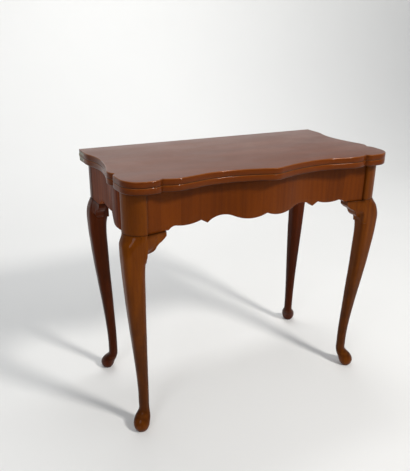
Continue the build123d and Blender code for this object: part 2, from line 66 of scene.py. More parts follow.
class Grain(Enum):
    """Direction in which the grain of a piece runs, as the turn that brings it onto X."""

    ALONG_X = (0.0, 0.0, 0.0)
    ALONG_Y = (0.0, 0.0, -math.pi / 2)
    UPRIGHT = (0.0, math.pi / 2, 0.0)


class Side(Enum):
    """Left or right of the table seen from the front."""

    LEFT = -1
    RIGHT = 1


class End(Enum):
    """Front or rear of the table."""

    FRONT = -1
    REAR = 1


def eased(share: Array) -> Array:
    """Smooth step 3 s^2 - 2 s^3 of a share s, held between 0 and 1."""
    held = np.clip(share, 0, 1)
    return held * held * (3 - 2 * held)


def band(place: Array, strength: float, middle: float, reach: float) -> Array:
    """Bell-shaped band, strength times exp(-((place - middle) / reach)^2)."""
    return strength * np.exp(-((place - middle) / reach) ** 2)


def smooth_path(points: Array, count: int) -> Array:
    """Carry a cubic spline with free ends through points.

    The slopes m solve m[i-1]/h[i-1] + 2 m[i] (1/h[i-1] + 1/h[i]) + m[i+1]/h[i]
    = 3 (d[i-1]/h[i-1] + d[i]/h[i]), where h are the chords and d the slopes of the chords.

    Args:
        points: Places that the path passes through, one a row.
        count: Number of points in the result.

    Returns:
        Evenly spread points along the path.
    """
    steps = np.diff(points, axis=0)
    chords = np.linalg.norm(steps, axis=1)
    slopes, link = steps / chords[:, None], 1 / chords
    main = np.concatenate([[2.0], 2 * (link[:-1] + link[1:]), [2.0]])
    matrix = np.diag(main) + np.diag(np.append(link[:-1], 1.0), -1) + np.diag(np.append(1.0, link[1:]), 1)
    pull = slopes * link[:, None]
    tangents = np.linalg.solve(matrix, 3 * np.vstack([slopes[0], pull[:-1] + pull[1:], slopes[-1]]))
    knots = np.concatenate([[0], np.cumsum(chords)])
    places = np.linspace(0, knots[-1], count)
    span = np.clip(np.searchsorted(knots, places, side="right") - 1, 0, len(chords) - 1)
    h = chords[span][:, None]
    t = (places - knots[span])[:, None] / h
    return ((2 * t**3 - 3 * t**2 + 1) * points[span] + (t**3 - 2 * t**2 + t) * h * tangents[span]
            + (3 * t**2 - 2 * t**3) * points[span + 1] + (t**3 - t**2) * h * tangents[span + 1])


def chain(points: object, angle: float, count: int) -> tuple[Array, float]:
    """Carry tangent arcs from point to point, each starting in the direction in which the last one ended.

    An arc that starts in direction a and whose chord lies at direction c turns by 2 (c - a), with the radius
    chord / (2 sin(c - a)).

    Args:
        points: Ends of the arcs, one a row.
        angle: Direction at the first point, in radians.
        count: Number of points on each arc.

    Returns:
        The points of all arcs and the direction at the end.
    """
    nearly_straight = 1e-6
    points = np.asarray(points, float)
    runs = [points[:1]]
    for start, end in zip(points[:-1], points[1:]):
        step = end - start
        half = (math.atan2(step[1], step[0]) - angle + math.pi) % (2 * math.pi) - math.pi
        share = np.linspace(0, 1, count)[1:]
        if abs(half) < nearly_straight:
            runs.append(start + share[:, None] * step)
        else:
            turn = angle + 2 * half * share
            radius = float(np.hypot(*step)) / (2 * math.sin(half))
            runs.append(start + radius * np.column_stack([np.sin(turn) - math.sin(angle),
                                                          math.cos(angle) - np.cos(turn)]))
        angle += 2 * half
    return np.concatenate(runs), angle


def heights(runs: Array, places: Array) -> Array:
    """Heights of a row of three-point arcs over given places.

    Each arc is part of the circle through its points, z = z0 +- sqrt(r^2 - (x - x0)^2), and the gaps between
    the arcs are straight.

    Args:
        runs: Arcs with the shape (arcs, 3, 2), in order of their places.
        places: Where the heights are wanted, held between the ends of the row.

    Returns:
        One height a place.
    """
    places = np.clip(places, runs[0, 0, 0], runs[-1, 2, 0])
    result = np.interp(places, runs[:, [0, 2], 0].ravel(), runs[:, [0, 2], 1].ravel())
    for first, inner, last in runs:
        squares = np.array([inner @ inner, last @ last]) - first @ first
        centre = np.linalg.solve(2 * np.array([inner - first, last - first]), squares)
        radius = np.linalg.norm(first - centre)
        rise = np.sqrt(np.maximum(radius**2 - (places - centre[0])**2, 0))
        curve = centre[1] + np.sign(inner[1] - centre[1]) * rise
        result = np.where((places >= first[0]) & (places <= last[0]), curve, result)
    return result


def ribbon(along: Array, face: Array | float, back: float, low: Array, high: float, arris: float) -> Array:
    """Rings of a board that runs along an axis, with a softened lower front edge and upper front edge.

    On the upper edge the face lies r (1 - sin a) further in and the level r (1 - cos a) down, with a running
    from 0 to 90 degrees, and the lower edge is its mirror image.

    Args:
        along: Place of each ring along the board.
        face: Place of the front face, at each ring or everywhere.
        back: Place of the back face.
        low: Lower edge at each ring.
        high: Upper edge.
        arris: Radius of the softened edges.

    Returns:
        Rings with the shape (rings, points, 3): along, across and up.
    """
    turns = np.radians(np.linspace(0, 90, 5))
    share = np.linspace(0.12, 0.88, 7)
    face, low = (np.broadcast_to(values, along.shape)[:, None] for values in (face, low))
    soft = np.minimum(arris, (high - low) / 3)
    inset = np.sign(back - face) * soft
    ends = np.ones_like(low)
    across = np.hstack([face + inset * (1 - np.sin(turns)), face + 0 * share,
                        face + inset * (1 - np.cos(turns)), back * ends, back * ends])
    up = np.hstack([high - soft * (1 - np.cos(turns)), high - soft + share * (low - high + 2 * soft),
                    low + soft * (1 - np.sin(turns)), low, high * ends])
    return np.stack([np.broadcast_to(along[:, None], up.shape), across, up], axis=-1)


def outward_normals(loop: Array) -> Array:
    """Mitred outward normals of a closed loop that runs anticlockwise.

    Where the edges before and after a point have normals a and b, its normal is (a + b) / (1 + a.b), so that
    a move along it keeps the same distance from both edges.

    Args:
        loop: Points of the loop, one a row.

    Returns:
        One normal a point.
    """
    sharpest = 0.35
    edge = np.roll(loop, -1, axis=0) - loop
    edge = edge / np.linalg.norm(edge, axis=1)[:, None]
    after = np.column_stack([edge[:, 1], -edge[:, 0]])
    before = np.roll(after, 1, axis=0)
    return (before + after) / np.maximum(1 + np.sum(before * after, axis=1), sharpest)[:, None]


def rounded_square(centre: Array, out: tuple[int, int], reach: Array, inner: Array, radii: Array,
                   steps: int) -> Array:
    """Outlines of squares that reach out towards a corner, one outline a level.

    Corner k of a level stands at centre + (a, b), where a and b are reach or -inner along the signs of out.
    Each corner is an arc of its own radius, tangent to both sides.

    Args:
        centre: Middle of the leg in plan.
        out: Signs of the outward corner along X and Y.
        reach: Outward reach at each level.
        inner: Inward reach at each level.
        radii: Four corner radii at each level, from the outward corner round.
        steps: Steps in each corner's arc.

    Returns:
        Points with the shape (levels, corners x (steps + 1), 2), anticlockwise.
    """
    signs = np.array([[1, 1], [-1, 1], [-1, -1], [1, -1]])
    corner = np.where(signs > 0, reach[:, None, None], -inner[:, None, None])
    turns = np.radians(90.0 * np.arange(4)[:, None] + np.linspace(0, 90, steps + 1))
    arcs = radii[:, :, None, None] * np.stack([np.cos(turns), np.sin(turns)], axis=-1)
    outline = (corner - signs * radii[:, :, None])[:, :, None] + arcs
    outline = outline.reshape(len(reach), -1, 2) * np.array(out)
    return (outline[:, ::-1] if out[0] * out[1] < 0 else outline) + centre


def stacked(plan: Array, level: Array) -> Array:
    """Rings in space from outlines in plan and the level of each outline or each point."""
    up = np.broadcast_to(level.reshape(len(plan), -1, 1), plan.shape[:2] + (1,))
    return np.concatenate([plan, up], axis=2)


def prism(loop: Array, low: float, high: float) -> Array:
    """Both rings of a prism over a plan, between two levels."""
    return stacked(np.stack([loop, loop]), np.array([low, high]))


def box_rings(low: Point, high: Point) -> Array:
    """Both rings of a box between two corners."""
    loop = np.array([[low[0], low[1]], [high[0], low[1]], [high[0], high[1]], [low[0], high[1]]])
    return prism(loop, low[2], high[2])


def placed(name: str, data: bpy.types.ID) -> Piece:
    """Add an object to the scene.

    Args:
        name: Its name.
        data: Its mesh, light or camera.

    Returns:
        The object.
    """
    made = bpy.data.objects.new(name, data)
    bpy.context.scene.collection.objects.link(made)
    return made


@dataclass
class Part:
    """Part of wood or cloth that rides on a body and stands for a node of the frame."""

    name: str
    node: str
    body: str
    material: Material


@dataclass
class Shell:
    """A closed surface under construction: its points, faces and values at its points."""

    points: list[Array] = field(default_factory=list)
    faces: list[list[int]] = field(default_factory=list)
    wear: list[Array] = field(default_factory=list)
    grime: list[Array] = field(default_factory=list)

    def add_tube(self, rings: Array, wear: Array | float = 0.0, grime: Array | float = 0.0) -> "Shell":
        """Add a tube of rings between flat ends, its faces joining points (u, v), (u, v + 1) and (u + 1, v).

        Args:
            rings: Points with the shape (rings, points a ring, 3).
            wear: Wear and painted highlight at the points, of a shape that spreads over (rings, points a
                ring).
            grime: Painted shade at the points, in the same way.

        Returns:
            The shell itself.
        """
        first = sum(map(len, self.points))
        count, around = rings.shape[:2]
        u, v = np.meshgrid(np.arange(count - 1), np.arange(around), indexing="ij")
        here, beside = (first + u * around + column for column in (v, (v + 1) % around))
        quads = np.stack([here, beside, beside + around, here + around], axis=-1)
        self.faces += quads.reshape(-1, 4).tolist()
        top = first + (count - 1) * around
        self.faces += [list(range(first, first + around))[::-1], list(range(top, top + around))]
        self.points.append(rings.reshape(-1, 3))
        self.wear.append(np.broadcast_to(wear, (count, around)).ravel())
        self.grime.append(np.broadcast_to(grime, (count, around)).ravel())
        return self

    def mesh(self, name: str) -> bpy.types.Mesh:
        """Put the points and faces into a mesh.

        Args:
            name: Name of the mesh.

        Returns:
            The mesh.
        """
        mesh = bpy.data.meshes.new(name)
        mesh.from_pydata(np.concatenate(self.points).tolist(), [], self.faces)
        return mesh

    def finish(self, part: Part, slot: str) -> Piece:
        """Make the object, with soft shading but for its crisp edges.

        Args:
            part: Part that the shell is the surface of.
            slot: Not used.

        Returns:
            The object.
        """
        mesh = self.mesh(part.name)
        for title, values in (("wear", self.wear), ("grime", self.grime)):
            layer = mesh.attributes.new(title, "FLOAT", "POINT")
            layer.data.foreach_set("value", np.concatenate(values).astype(np.float32))
        mesh.polygons.foreach_set("use_smooth", [True] * len(mesh.polygons))
        mesh.update()
        mesh.set_sharp_from_angle(angle=math.radians(CRISP_ANGLE))
        made = placed(part.name, mesh)
        mesh.materials.append(part.material)
        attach(made, part.body)
        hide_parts(part.node)
        log.info("%s: %d faces", part.name, len(mesh.polygons))
        return made


def cut_away(piece: Piece, cutters: list[Array]) -> None:
    """Cut closed prisms out of a piece.

    Args:
        piece: Object to cut.
        cutters: Rings of each prism.
    """
    for number, rings in enumerate(cutters):
        name = f"cutter_{number}"
        tool = placed(name, Shell().add_tube(rings).mesh(name))
        step = piece.modifiers.new("cut", "BOOLEAN")
        step.operation = "DIFFERENCE"
        step.solver = "EXACT"
        step.object = tool
        bpy.context.view_layer.update()
        cut = bpy.data.meshes.new_from_object(piece.evaluated_get(bpy.context.evaluated_depsgraph_get()))
        piece.modifiers.clear()
        old, used = piece.data, tool.data
        piece.data = cut
        cut.name = old.name
        bpy.data.objects.remove(tool)
        for mesh in (old, used):
            bpy.data.meshes.remove(mesh)


@dataclass(frozen=True)
class Noise:
    """Noise pattern, with one scale or one for each axis, its number of layers and their roughness."""

    scale: float | Point
    layers: float
    rough: float


class Graph:
    """Small helper that adds and joins shader nodes."""

    def __init__(self, tree: bpy.types.NodeTree) -> None:
        """Start on a node tree."""
        self.tree = tree

    def feed(self, node: Node, inputs: dict[str | int, object]) -> None:
        """Join outputs to the inputs of a node, or set the inputs to constants.

        Args:
            node: Node to feed.
            inputs: Output or constant for each input.
        """
        for key, source in inputs.items():
            if isinstance(source, Socket):
                self.tree.links.new(source, node.inputs[key])
            else:
                node.inputs[key].default_value = source

    def add(self, kind: str, inputs: dict[str | int, object] | None = None, **settings: object) -> Node:
        """Add a node.

        Args:
            kind: Node type.
            inputs: Output or constant for each input.
            settings: Attributes to set on the node.

        Returns:
            The node.
        """
        node = self.tree.nodes.new(kind)
        for key, value in settings.items():
            setattr(node, key, value)
        self.feed(node, inputs or {})
        return node

    def group(self, tree: bpy.types.NodeTree, inputs: dict[str, object]) -> object:
        """Outputs of a shader node group."""
        return self.add("ShaderNodeGroup", inputs, node_tree=tree).outputs

    def math(self, operation: str, *terms: object, clamp: bool = False) -> Socket:
        """Result of a Math node."""
        node = self.add("ShaderNodeMath", dict(enumerate(terms)), operation=operation, use_clamp=clamp)
        return node.outputs[0]

    def times(self, first: object, second: object) -> Socket:
        """Product of two values."""
        return self.math("MULTIPLY", first, second)

    def plus(self, first: object, second: object, clamp: bool = False) -> Socket:
        """Sum of two values."""
        return self.math("ADD", first, second, clamp=clamp)

    def vector(self, operation: str, *terms: object) -> object:
        """Outputs of a Vector Math node."""
        return self.add("ShaderNodeVectorMath", dict(enumerate(terms)), operation=operation).outputs

    def remap(self, value: object, low: float, high: float, to_low: float = 0.0,
              to_high: float = 1.0) -> Socket:
        """Value carried smoothly from one range into another, held at its ends."""
        terms = dict(enumerate((value, low, high, to_low, to_high)))
        return self.add("ShaderNodeMapRange", terms, interpolation_type="SMOOTHSTEP").outputs[0]

    def noise(self, place: object, pattern: Noise) -> Socket:
        """Height of a noise pattern at a place.

        Args:
            place: Where the pattern is read.
            pattern: The pattern.

        Returns:
            The height.
        """
        scale = pattern.scale
        if isinstance(scale, tuple):
            place, scale = self.vector("MULTIPLY", place, scale)[0], 1.0
        return self.add("ShaderNodeTexNoise", {"Vector": place, "Scale": scale, "Detail": pattern.layers,
                                               "Roughness": pattern.rough}).outputs["Fac"]

    def attribute(self, title: str) -> Socket:
        """Value of an attribute of the mesh."""
        return self.add("ShaderNodeAttribute", attribute_name=title).outputs["Fac"]

    def mix(self, factor: object, first: object, second: object) -> Socket:
        """Colour between two colours."""
        return self.add("ShaderNodeMix", {0: factor, 6: first, 7: second}, data_type="RGBA").outputs[2]

    def bump(self, height: object, strength: float, distance: float) -> Socket:
        """Normal bent by a height pattern."""
        return self.add("ShaderNodeBump", {"Strength": strength, "Distance": distance,
                                           "Height": height}).outputs[0]


def new_group(name: str, inputs: dict[str, float | Point],
              outputs: tuple[str, ...]) -> tuple[Graph, Node, Node]:
    """Start a shader node group with named inputs and outputs.

    Args:
        name: Name of the group.
        inputs: Preset of each input, a vector where it has three parts.
        outputs: Names of the outputs, all single values.

    Returns:
        The graph of the group and its input and output nodes.
    """
    tree = bpy.data.node_groups.new(name, "ShaderNodeTree")
    for title, preset in inputs.items():
        kind = "NodeSocketVector" if isinstance(preset, tuple) else "NodeSocketFloat"
        tree.interface.new_socket(title, in_out="INPUT", socket_type=kind).default_value = preset
    for title in outputs:
        tree.interface.new_socket(title, in_out="OUTPUT", socket_type="NodeSocketFloat")
    graph = Graph(tree)
    return graph, graph.add("NodeGroupInput"), graph.add("NodeGroupOutput")


@cache
def timber_figure() -> bpy.types.NodeTree:
    """Figure of sawn wood with its grain along X: growth rings, streaks and pores.

    The rings are sin(2 pi r / spacing), where r is the distance from the pith line, bent by noise.

    Returns:
        The group, with the outputs Figure, Pores and Height.
    """
    ring_share, streak_share, cloud_share, streak_height = 0.14, 0.50, 0.75, 0.4
    across_grain = (0.0, 1.0, 1.0)
    g, inside, outside = new_group(
        "timber", {"Vector": (0.0, 0.0, 0.0), "Spacing": 0.012, "Waviness": 0.02, "Pith": (0.0, 0.1, -0.3),
                   "Pore Amount": 0.5}, ("Figure", "Pores", "Height"))
    given = inside.outputs
    place = given["Vector"]
    from_pith = g.vector("MULTIPLY", g.vector("SUBTRACT", place, given["Pith"])[0], across_grain)[0]
    sway = g.plus(g.noise(place, Noise((2.2, 7.0, 7.0), 3.0, 0.5)), -0.5)
    radius = g.plus(g.vector("LENGTH", from_pith)["Value"], g.times(sway, given["Waviness"]))
    turns = g.math("DIVIDE", radius, given["Spacing"])
    rings = g.math("MULTIPLY_ADD", g.math("SINE", g.times(turns, 2 * math.pi)), 0.5, 0.5)
    streaks = g.noise(place, Noise((3.0, 160.0, 160.0), 4.0, 0.6))
    cloud = g.noise(place, Noise((4.0, 16.0, 16.0), 2.0, 0.5))
    grainy = g.noise(place, Noise((60.0, 1500.0, 1500.0), 1.0, 0.5))
    wide = g.plus(g.times(streaks, streak_share), g.times(cloud, cloud_share))
    figure = g.plus(g.times(rings, ring_share), wide)
    pores = g.times(g.remap(grainy, 0.58, 0.72), given["Pore Amount"])
    g.feed(outside, {"Figure": g.remap(figure, 0.40, 0.98), "Pores": pores,
                     "Height": g.math("SUBTRACT", g.times(streaks, streak_height), pores)})
    return g.tree


@cache
def veneer_leaves() -> bpy.types.NodeTree:
    """Leaves of veneer laid side by side along X: a tone for each leaf and a thin joint between them.

    Leaf n covers the places where floor(x / width + offset) = n, and its tone is random in n.

    Returns:
        The group, with the outputs Tone, Joint and Shift.
    """
    shift = 0.37
    g, inside, outside = new_group(
        "veneer_leaves", {"Place": 0.0, "Width": 0.06, "Offset": 0.0, "Joint Width": 0.0006},
        ("Tone", "Joint", "Shift"))
    given = inside.outputs
    turns = g.plus(g.math("DIVIDE", given["Place"], given["Width"]), given["Offset"])
    number = g.math("FLOOR", turns)
    tone = g.add("ShaderNodeTexWhiteNoise", {"W": number}, noise_dimensions="1D").outputs["Value"]
    edge = g.times(g.math("PINGPONG", g.math("SUBTRACT", turns, number), 0.5), given["Width"])
    g.feed(outside, {"Tone": tone, "Joint": g.math("LESS_THAN", edge, given["Joint Width"]),
                     "Shift": g.times(number, shift)})
    return g.tree


@cache
def wear_highlight_and_shade() -> bpy.types.NodeTree:
    """Worn edges with painted highlights, painted shade in corners and recesses, and smears in the varnish.

    Returns:
        The group, with the outputs for wear and painted highlight, for painted shade, and for smears.
    """
    g, inside, outside = new_group("handling", {"Vector": (0.0, 0.0, 0.0), "Wear": 0.0, "Grime": 0.0},
                                   ("Worn", "Grimy", "Smears"))
    given = inside.outputs
    place = given["Vector"]
    patches = g.plus(g.noise(place, Noise(55.0, 4.0, 0.65)), 0.45)
    cloud = g.noise(place, Noise(30.0, 3.0, 0.6))
    g.feed(outside, {"Worn": g.remap(g.times(given["Wear"], patches), 0.35, 0.85),
                     "Grimy": g.times(given["Grime"], g.remap(cloud, 0.2, 0.7, 0.55, 1.0)),
                     "Smears": g.noise(place, Noise((9.0, 14.0, 9.0), 4.0, 0.6))})
    return g.tree


def plain_material(name: str) -> tuple[Material, Graph, Node, Socket]:
    """Start a material with its shader and its object coordinates.

    Args:
        name: Name of the material.

    Returns:
        The material, its graph, its shader node and the coordinates.
    """
    material = bpy.data.materials.new(name)
    material.use_nodes = True
    material.node_tree.nodes.clear()
    graph = Graph(material.node_tree)
    shader = graph.add("ShaderNodeBsdfPrincipled")
    graph.add("ShaderNodeOutputMaterial", {0: shader.outputs[0]})
    return material, graph, shader, graph.add("ShaderNodeTexCoord").outputs["Object"]


@dataclass(frozen=True)
class Timber:
    """Sawn and planed wood, varnished or bare."""

    name: str
    dark: Colour
    light: Colour
    grain: Grain = Grain.ALONG_X
    spacing: float = 0.014
    waviness: float = 0.035
    pith: Point = (0.0, 0.12, -0.35)
    pores: float = 0.5
    pore_depth: float = 0.55
    contrast: float = 0.6
    roughness: float = 0.34
    smears: float = 0.06
    worn_smoother: float = 0.10
    sheen: float = 0.15
    amber: Colour = (1.0, 0.26, 0.03, 1.0)
    coat: float = 0.14
    coat_roughness: float = 0.07
    rubbed: float = 0.45
    relief: float = 0.00004
    relief_strength: float = 0.6
    veneer_width: float = 0.0
    veneer_offset: float = 0.0
    veneer_contrast: float = 0.35
    joint_depth: float = 0.22
    # Laid over the wood: a lighter colour for wear that also paints highlights, and one dark colour for
    # pores, veneer joints and painted shade.
    wear_and_highlight_colour: Colour = (0.24, 0.075, 0.014, 1.0)
    wear_and_highlight_depth: float = 0.75
    pore_joint_and_shade_colour: Colour = (0.010, 0.004, 0.002, 1.0)
    painted_shade_depth: float = 0.9

    def build(self) -> Material:
        """Make the material.

        Returns:
            The material.
        """
        material, g, shader, place = plain_material(self.name)
        along = g.add("ShaderNodeMapping", {"Vector": place, "Rotation": self.grain.value}).outputs["Vector"]
        if self.veneer_width:
            across = g.add("ShaderNodeSeparateXYZ", {0: place}).outputs[0]
            leaves = g.group(veneer_leaves(), {"Place": across, "Width": self.veneer_width,
                                               "Offset": self.veneer_offset})
            shift = g.add("ShaderNodeCombineXYZ", {0: leaves["Shift"]}).outputs[0]
            along = g.vector("ADD", along, shift)[0]
        figure = g.group(timber_figure(), {"Vector": along, "Spacing": self.spacing, "Pith": self.pith,
                                           "Waviness": self.waviness, "Pore Amount": self.pores})
        wear = g.attribute("wear")
        marks = g.group(wear_highlight_and_shade(), {"Vector": place, "Wear": wear, "Grime": g.attribute("grime")})
        amount = g.plus(g.times(figure["Figure"], self.contrast), 0.5 - self.contrast / 2)
        # Dark pores, lighter wear with its painted highlight, and painted shade go over the wood's colour.
        layers = [(figure["Pores"], self.pore_depth, self.pore_joint_and_shade_colour),
                  (marks["Worn"], self.wear_and_highlight_depth, self.wear_and_highlight_colour),
                  (marks["Grimy"], self.painted_shade_depth, self.pore_joint_and_shade_colour)]
        if self.veneer_width:
            tone = g.times(g.plus(leaves["Tone"], -0.5), self.veneer_contrast)
            amount = g.plus(amount, tone, clamp=True)
            layers.insert(1, (leaves["Joint"], self.joint_depth, self.pore_joint_and_shade_colour))
        colour = g.mix(amount, self.dark, self.light)
        for mask, depth, layer in layers:
            colour = g.mix(g.times(mask, depth), colour, layer)
        rough = g.remap(marks["Smears"], 0.3, 0.7, self.roughness - self.smears, self.roughness + self.smears)
        rubbed = g.times(g.remap(wear, 0.5, 1.0), self.rubbed)
        g.feed(shader, {"Base Color": colour,
                        "Roughness": g.math("SUBTRACT", rough, g.times(marks["Worn"], self.worn_smoother)),
                        "Normal": g.bump(figure["Height"], self.relief_strength, self.relief),
                        "Specular IOR Level": self.sheen, "Specular Tint": self.amber,
                        "Coat Weight": g.plus(rubbed, self.coat), "Coat Roughness": self.coat_roughness,
                        "Coat IOR": 1.5})
        return material


@dataclass(frozen=True)
class Metal:
    """Dulled cast or rolled metal."""

    name: str
    colour: Colour
    tarnish: Colour
    roughness: float = 0.38
    smoothest: float = -0.06
    roughest: float = 0.10
    tarnish_amount: float = 0.6
    tarnished_metallic: float = 0.55
    patches: Noise = Noise(160.0, 4.0, 0.65)
    fine: Noise = Noise(900.0, 2.0, 0.5)
    relief: float = 0.00005
    relief_strength: float = 0.4

    def build(self) -> Material:
        """Make the material.

        Returns:
            The material.
        """
        material, g, shader, place = plain_material(self.name)
        fine = g.noise(place, self.fine)
        dull = g.times(g.remap(g.noise(place, self.patches), 0.35, 0.65), self.tarnish_amount)
        rough = g.remap(fine, 0.2, 0.8, self.roughness + self.smoothest, self.roughness + self.roughest)
        g.feed(shader, {"Base Color": g.mix(dull, self.colour, self.tarnish),
                        "Metallic": g.remap(dull, 0.0, 1.0, 1.0, self.tarnished_metallic), "Roughness": rough,
                        "Normal": g.bump(fine, self.relief_strength, self.relief)})
        return material


@dataclass(frozen=True)
class Baize:
    """Felted wool cloth with a short nap."""

    name: str
    dark: Colour
    light: Colour
    nap: Noise = Noise((700.0, 1100.0, 700.0), 3.0, 0.7)
    faded: Noise = Noise(5.0, 3.0, 0.5)
    relief: float = 0.0003
    relief_strength: float = 0.8

    def build(self) -> Material:
        """Make the material.

        Returns:
            The material.
        """
        material, g, shader, place = plain_material(self.name)
        nap = g.noise(place, self.nap)
        tone = g.plus(g.times(nap, 0.55), g.times(g.noise(place, self.faded), 0.5))
        g.feed(shader, {"Base Color": g.mix(g.remap(tone, 0.3, 0.75), self.dark, self.light),
                        "Roughness": g.remap(nap, 0.2, 0.8, 0.82, 0.97),
                        "Normal": g.bump(nap, self.relief_strength, self.relief),
                        "Sheen Weight": 0.12, "Sheen Roughness": 0.5})
        return material


@dataclass
class Frame:
    """Levels and places that the wooden pieces share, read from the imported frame."""

    top_level: float
    leaf_bottom: float
    leaf_thickness: float
    front: float
    width: float
    apron_end: float
    leg_x: float
    front_leg_y: float
    rear_leg_y: float
    post_inner: float
    apron_back: float
    gate_top: float
    stock: float = 0.055
    knee_reach: float = 0.0308
    foot_share: float = 0.415

    @classmethod
    def read(cls) -> "Frame":
        """Work the shared places out from the boxes of the nodes.

        Returns:
            The levels and places.
        """
        fixed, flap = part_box("fixed_leaf"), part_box("flap_leaf")
        apron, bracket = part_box("front_apron"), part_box("right_front_bracket")
        leg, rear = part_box("front_right_leg"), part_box("rear_right_leg")
        return cls(
            top_level=flap[1][2], leaf_bottom=fixed[0][2], leaf_thickness=fixed[1][2] - fixed[0][2],
            front=fixed[0][1], width=fixed[1][0] - fixed[0][0], apron_end=bracket[1][2],
            leg_x=leg[1][0] - cls.knee_reach, front_leg_y=leg[0][1] + cls.knee_reach,
            rear_leg_y=rear[1][1] - cls.foot_share * cls.stock, post_inner=bracket[1][0],
            apron_back=apron[1][1], gate_top=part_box("gate_leg")[1][2])


@dataclass
class TopPlan:
    """Serpentine plan that both leaves share, as tangent arcs."""

    front: float
    width: float
    rear_inset: float = 0.004
    depth: float = 0.429
    serpentine: float = 0.030
    turret_front: float = 0.014
    turret_radius: float = 0.051
    turret_return: float = 0.022
    turret_trim: float = 0.008
    trim_share: float = 0.9
    front_notch: float = 0.096
    side_notch: float = 0.104
    notch_depth: float = 0.010
    side_hollow: float = 0.020
    side_slope: float = 1.191
    play: float = 0.0001
    front_shares: Shares = ((0.0, 0.0), (0.05, 0.09), (0.445, 0.973), (0.628, 0.883), (0.806, 0.512))
    side_shares: Shares = ((0.127, 0.107), (0.442, 1.061), (0.721, 0.491))

    @property
    def rear(self) -> float:
        """Place of the hinge edge."""
        return self.front + self.depth - self.play

    @property
    def rear_half(self) -> float:
        """Half the width at the hinge edge."""
        return self.width / 2 - self.rear_inset

    @property
    def turret(self) -> float:
        """Place of the turrets' front."""
        return self.front + self.turret_front

    def notches(self) -> Array:
        """Inner corners of the front and the side notch on the right, before the turret's end is trimmed."""
        half = self.width / 2
        return np.array([[half - self.front_notch, self.turret + self.notch_depth],
                         [half - self.notch_depth, self.turret + self.side_notch]])

    def half(self) -> Array:
        """Right half of the plan, from the middle of the front round to the middle of the hinge edge.

        Returns:
            Points of the half, one a row.
        """
        half, turret, radius = self.width / 2, self.turret, self.turret_radius
        notch, side = self.notches()
        shares = np.array(self.front_shares)
        bows = np.column_stack([shares[:, 0] * notch[0], self.front + shares[:, 1] * self.serpentine])
        front, _ = chain(np.vstack([bows, notch]), 0.0, 28)
        into, _ = chain([[notch[0] + self.turret_return, turret], notch], math.pi, 10)
        corner, _ = chain([[half - radius, turret], [half, turret + radius]], 0.0, 24)
        away, _ = chain([[half, side[1] - self.turret_return], side], math.pi / 2, 10)
        shares = np.array(self.side_shares)
        bows = np.column_stack([half - shares[:, 1] * self.side_hollow,
                                side[1] + shares[:, 0] * (self.rear - side[1])])
        flank, angle = chain(np.vstack([side, bows]), math.atan2(self.side_slope, 1.0), 26)
        run = (self.rear_half - flank[-1, 0]) / math.cos(angle)
        last, _ = chain([flank[-1], [self.rear_half, flank[-1, 1] + run * math.sin(angle) + run]], angle, 14)
        return np.concatenate([front, into[::-1][1:], corner, away, flank[1:], last[1:],
                               [[self.rear_half, self.rear], [self.rear_half / 2, self.rear]]])

    def loop(self) -> Array:
        """Whole plan as a closed loop, with the turrets' ends trimmed.

        Returns:
            Points of the loop, one a row, anticlockwise.
        """
        right = self.half()
        near = band(right[:, 1], self.turret_trim, self.turret, self.trim_share * self.side_notch)
        right[:, 0] -= near * (right[:, 0] / (self.width / 2)) ** 2
        return np.concatenate([right, right[:0:-1] * np.array([-1.0, 1.0])])


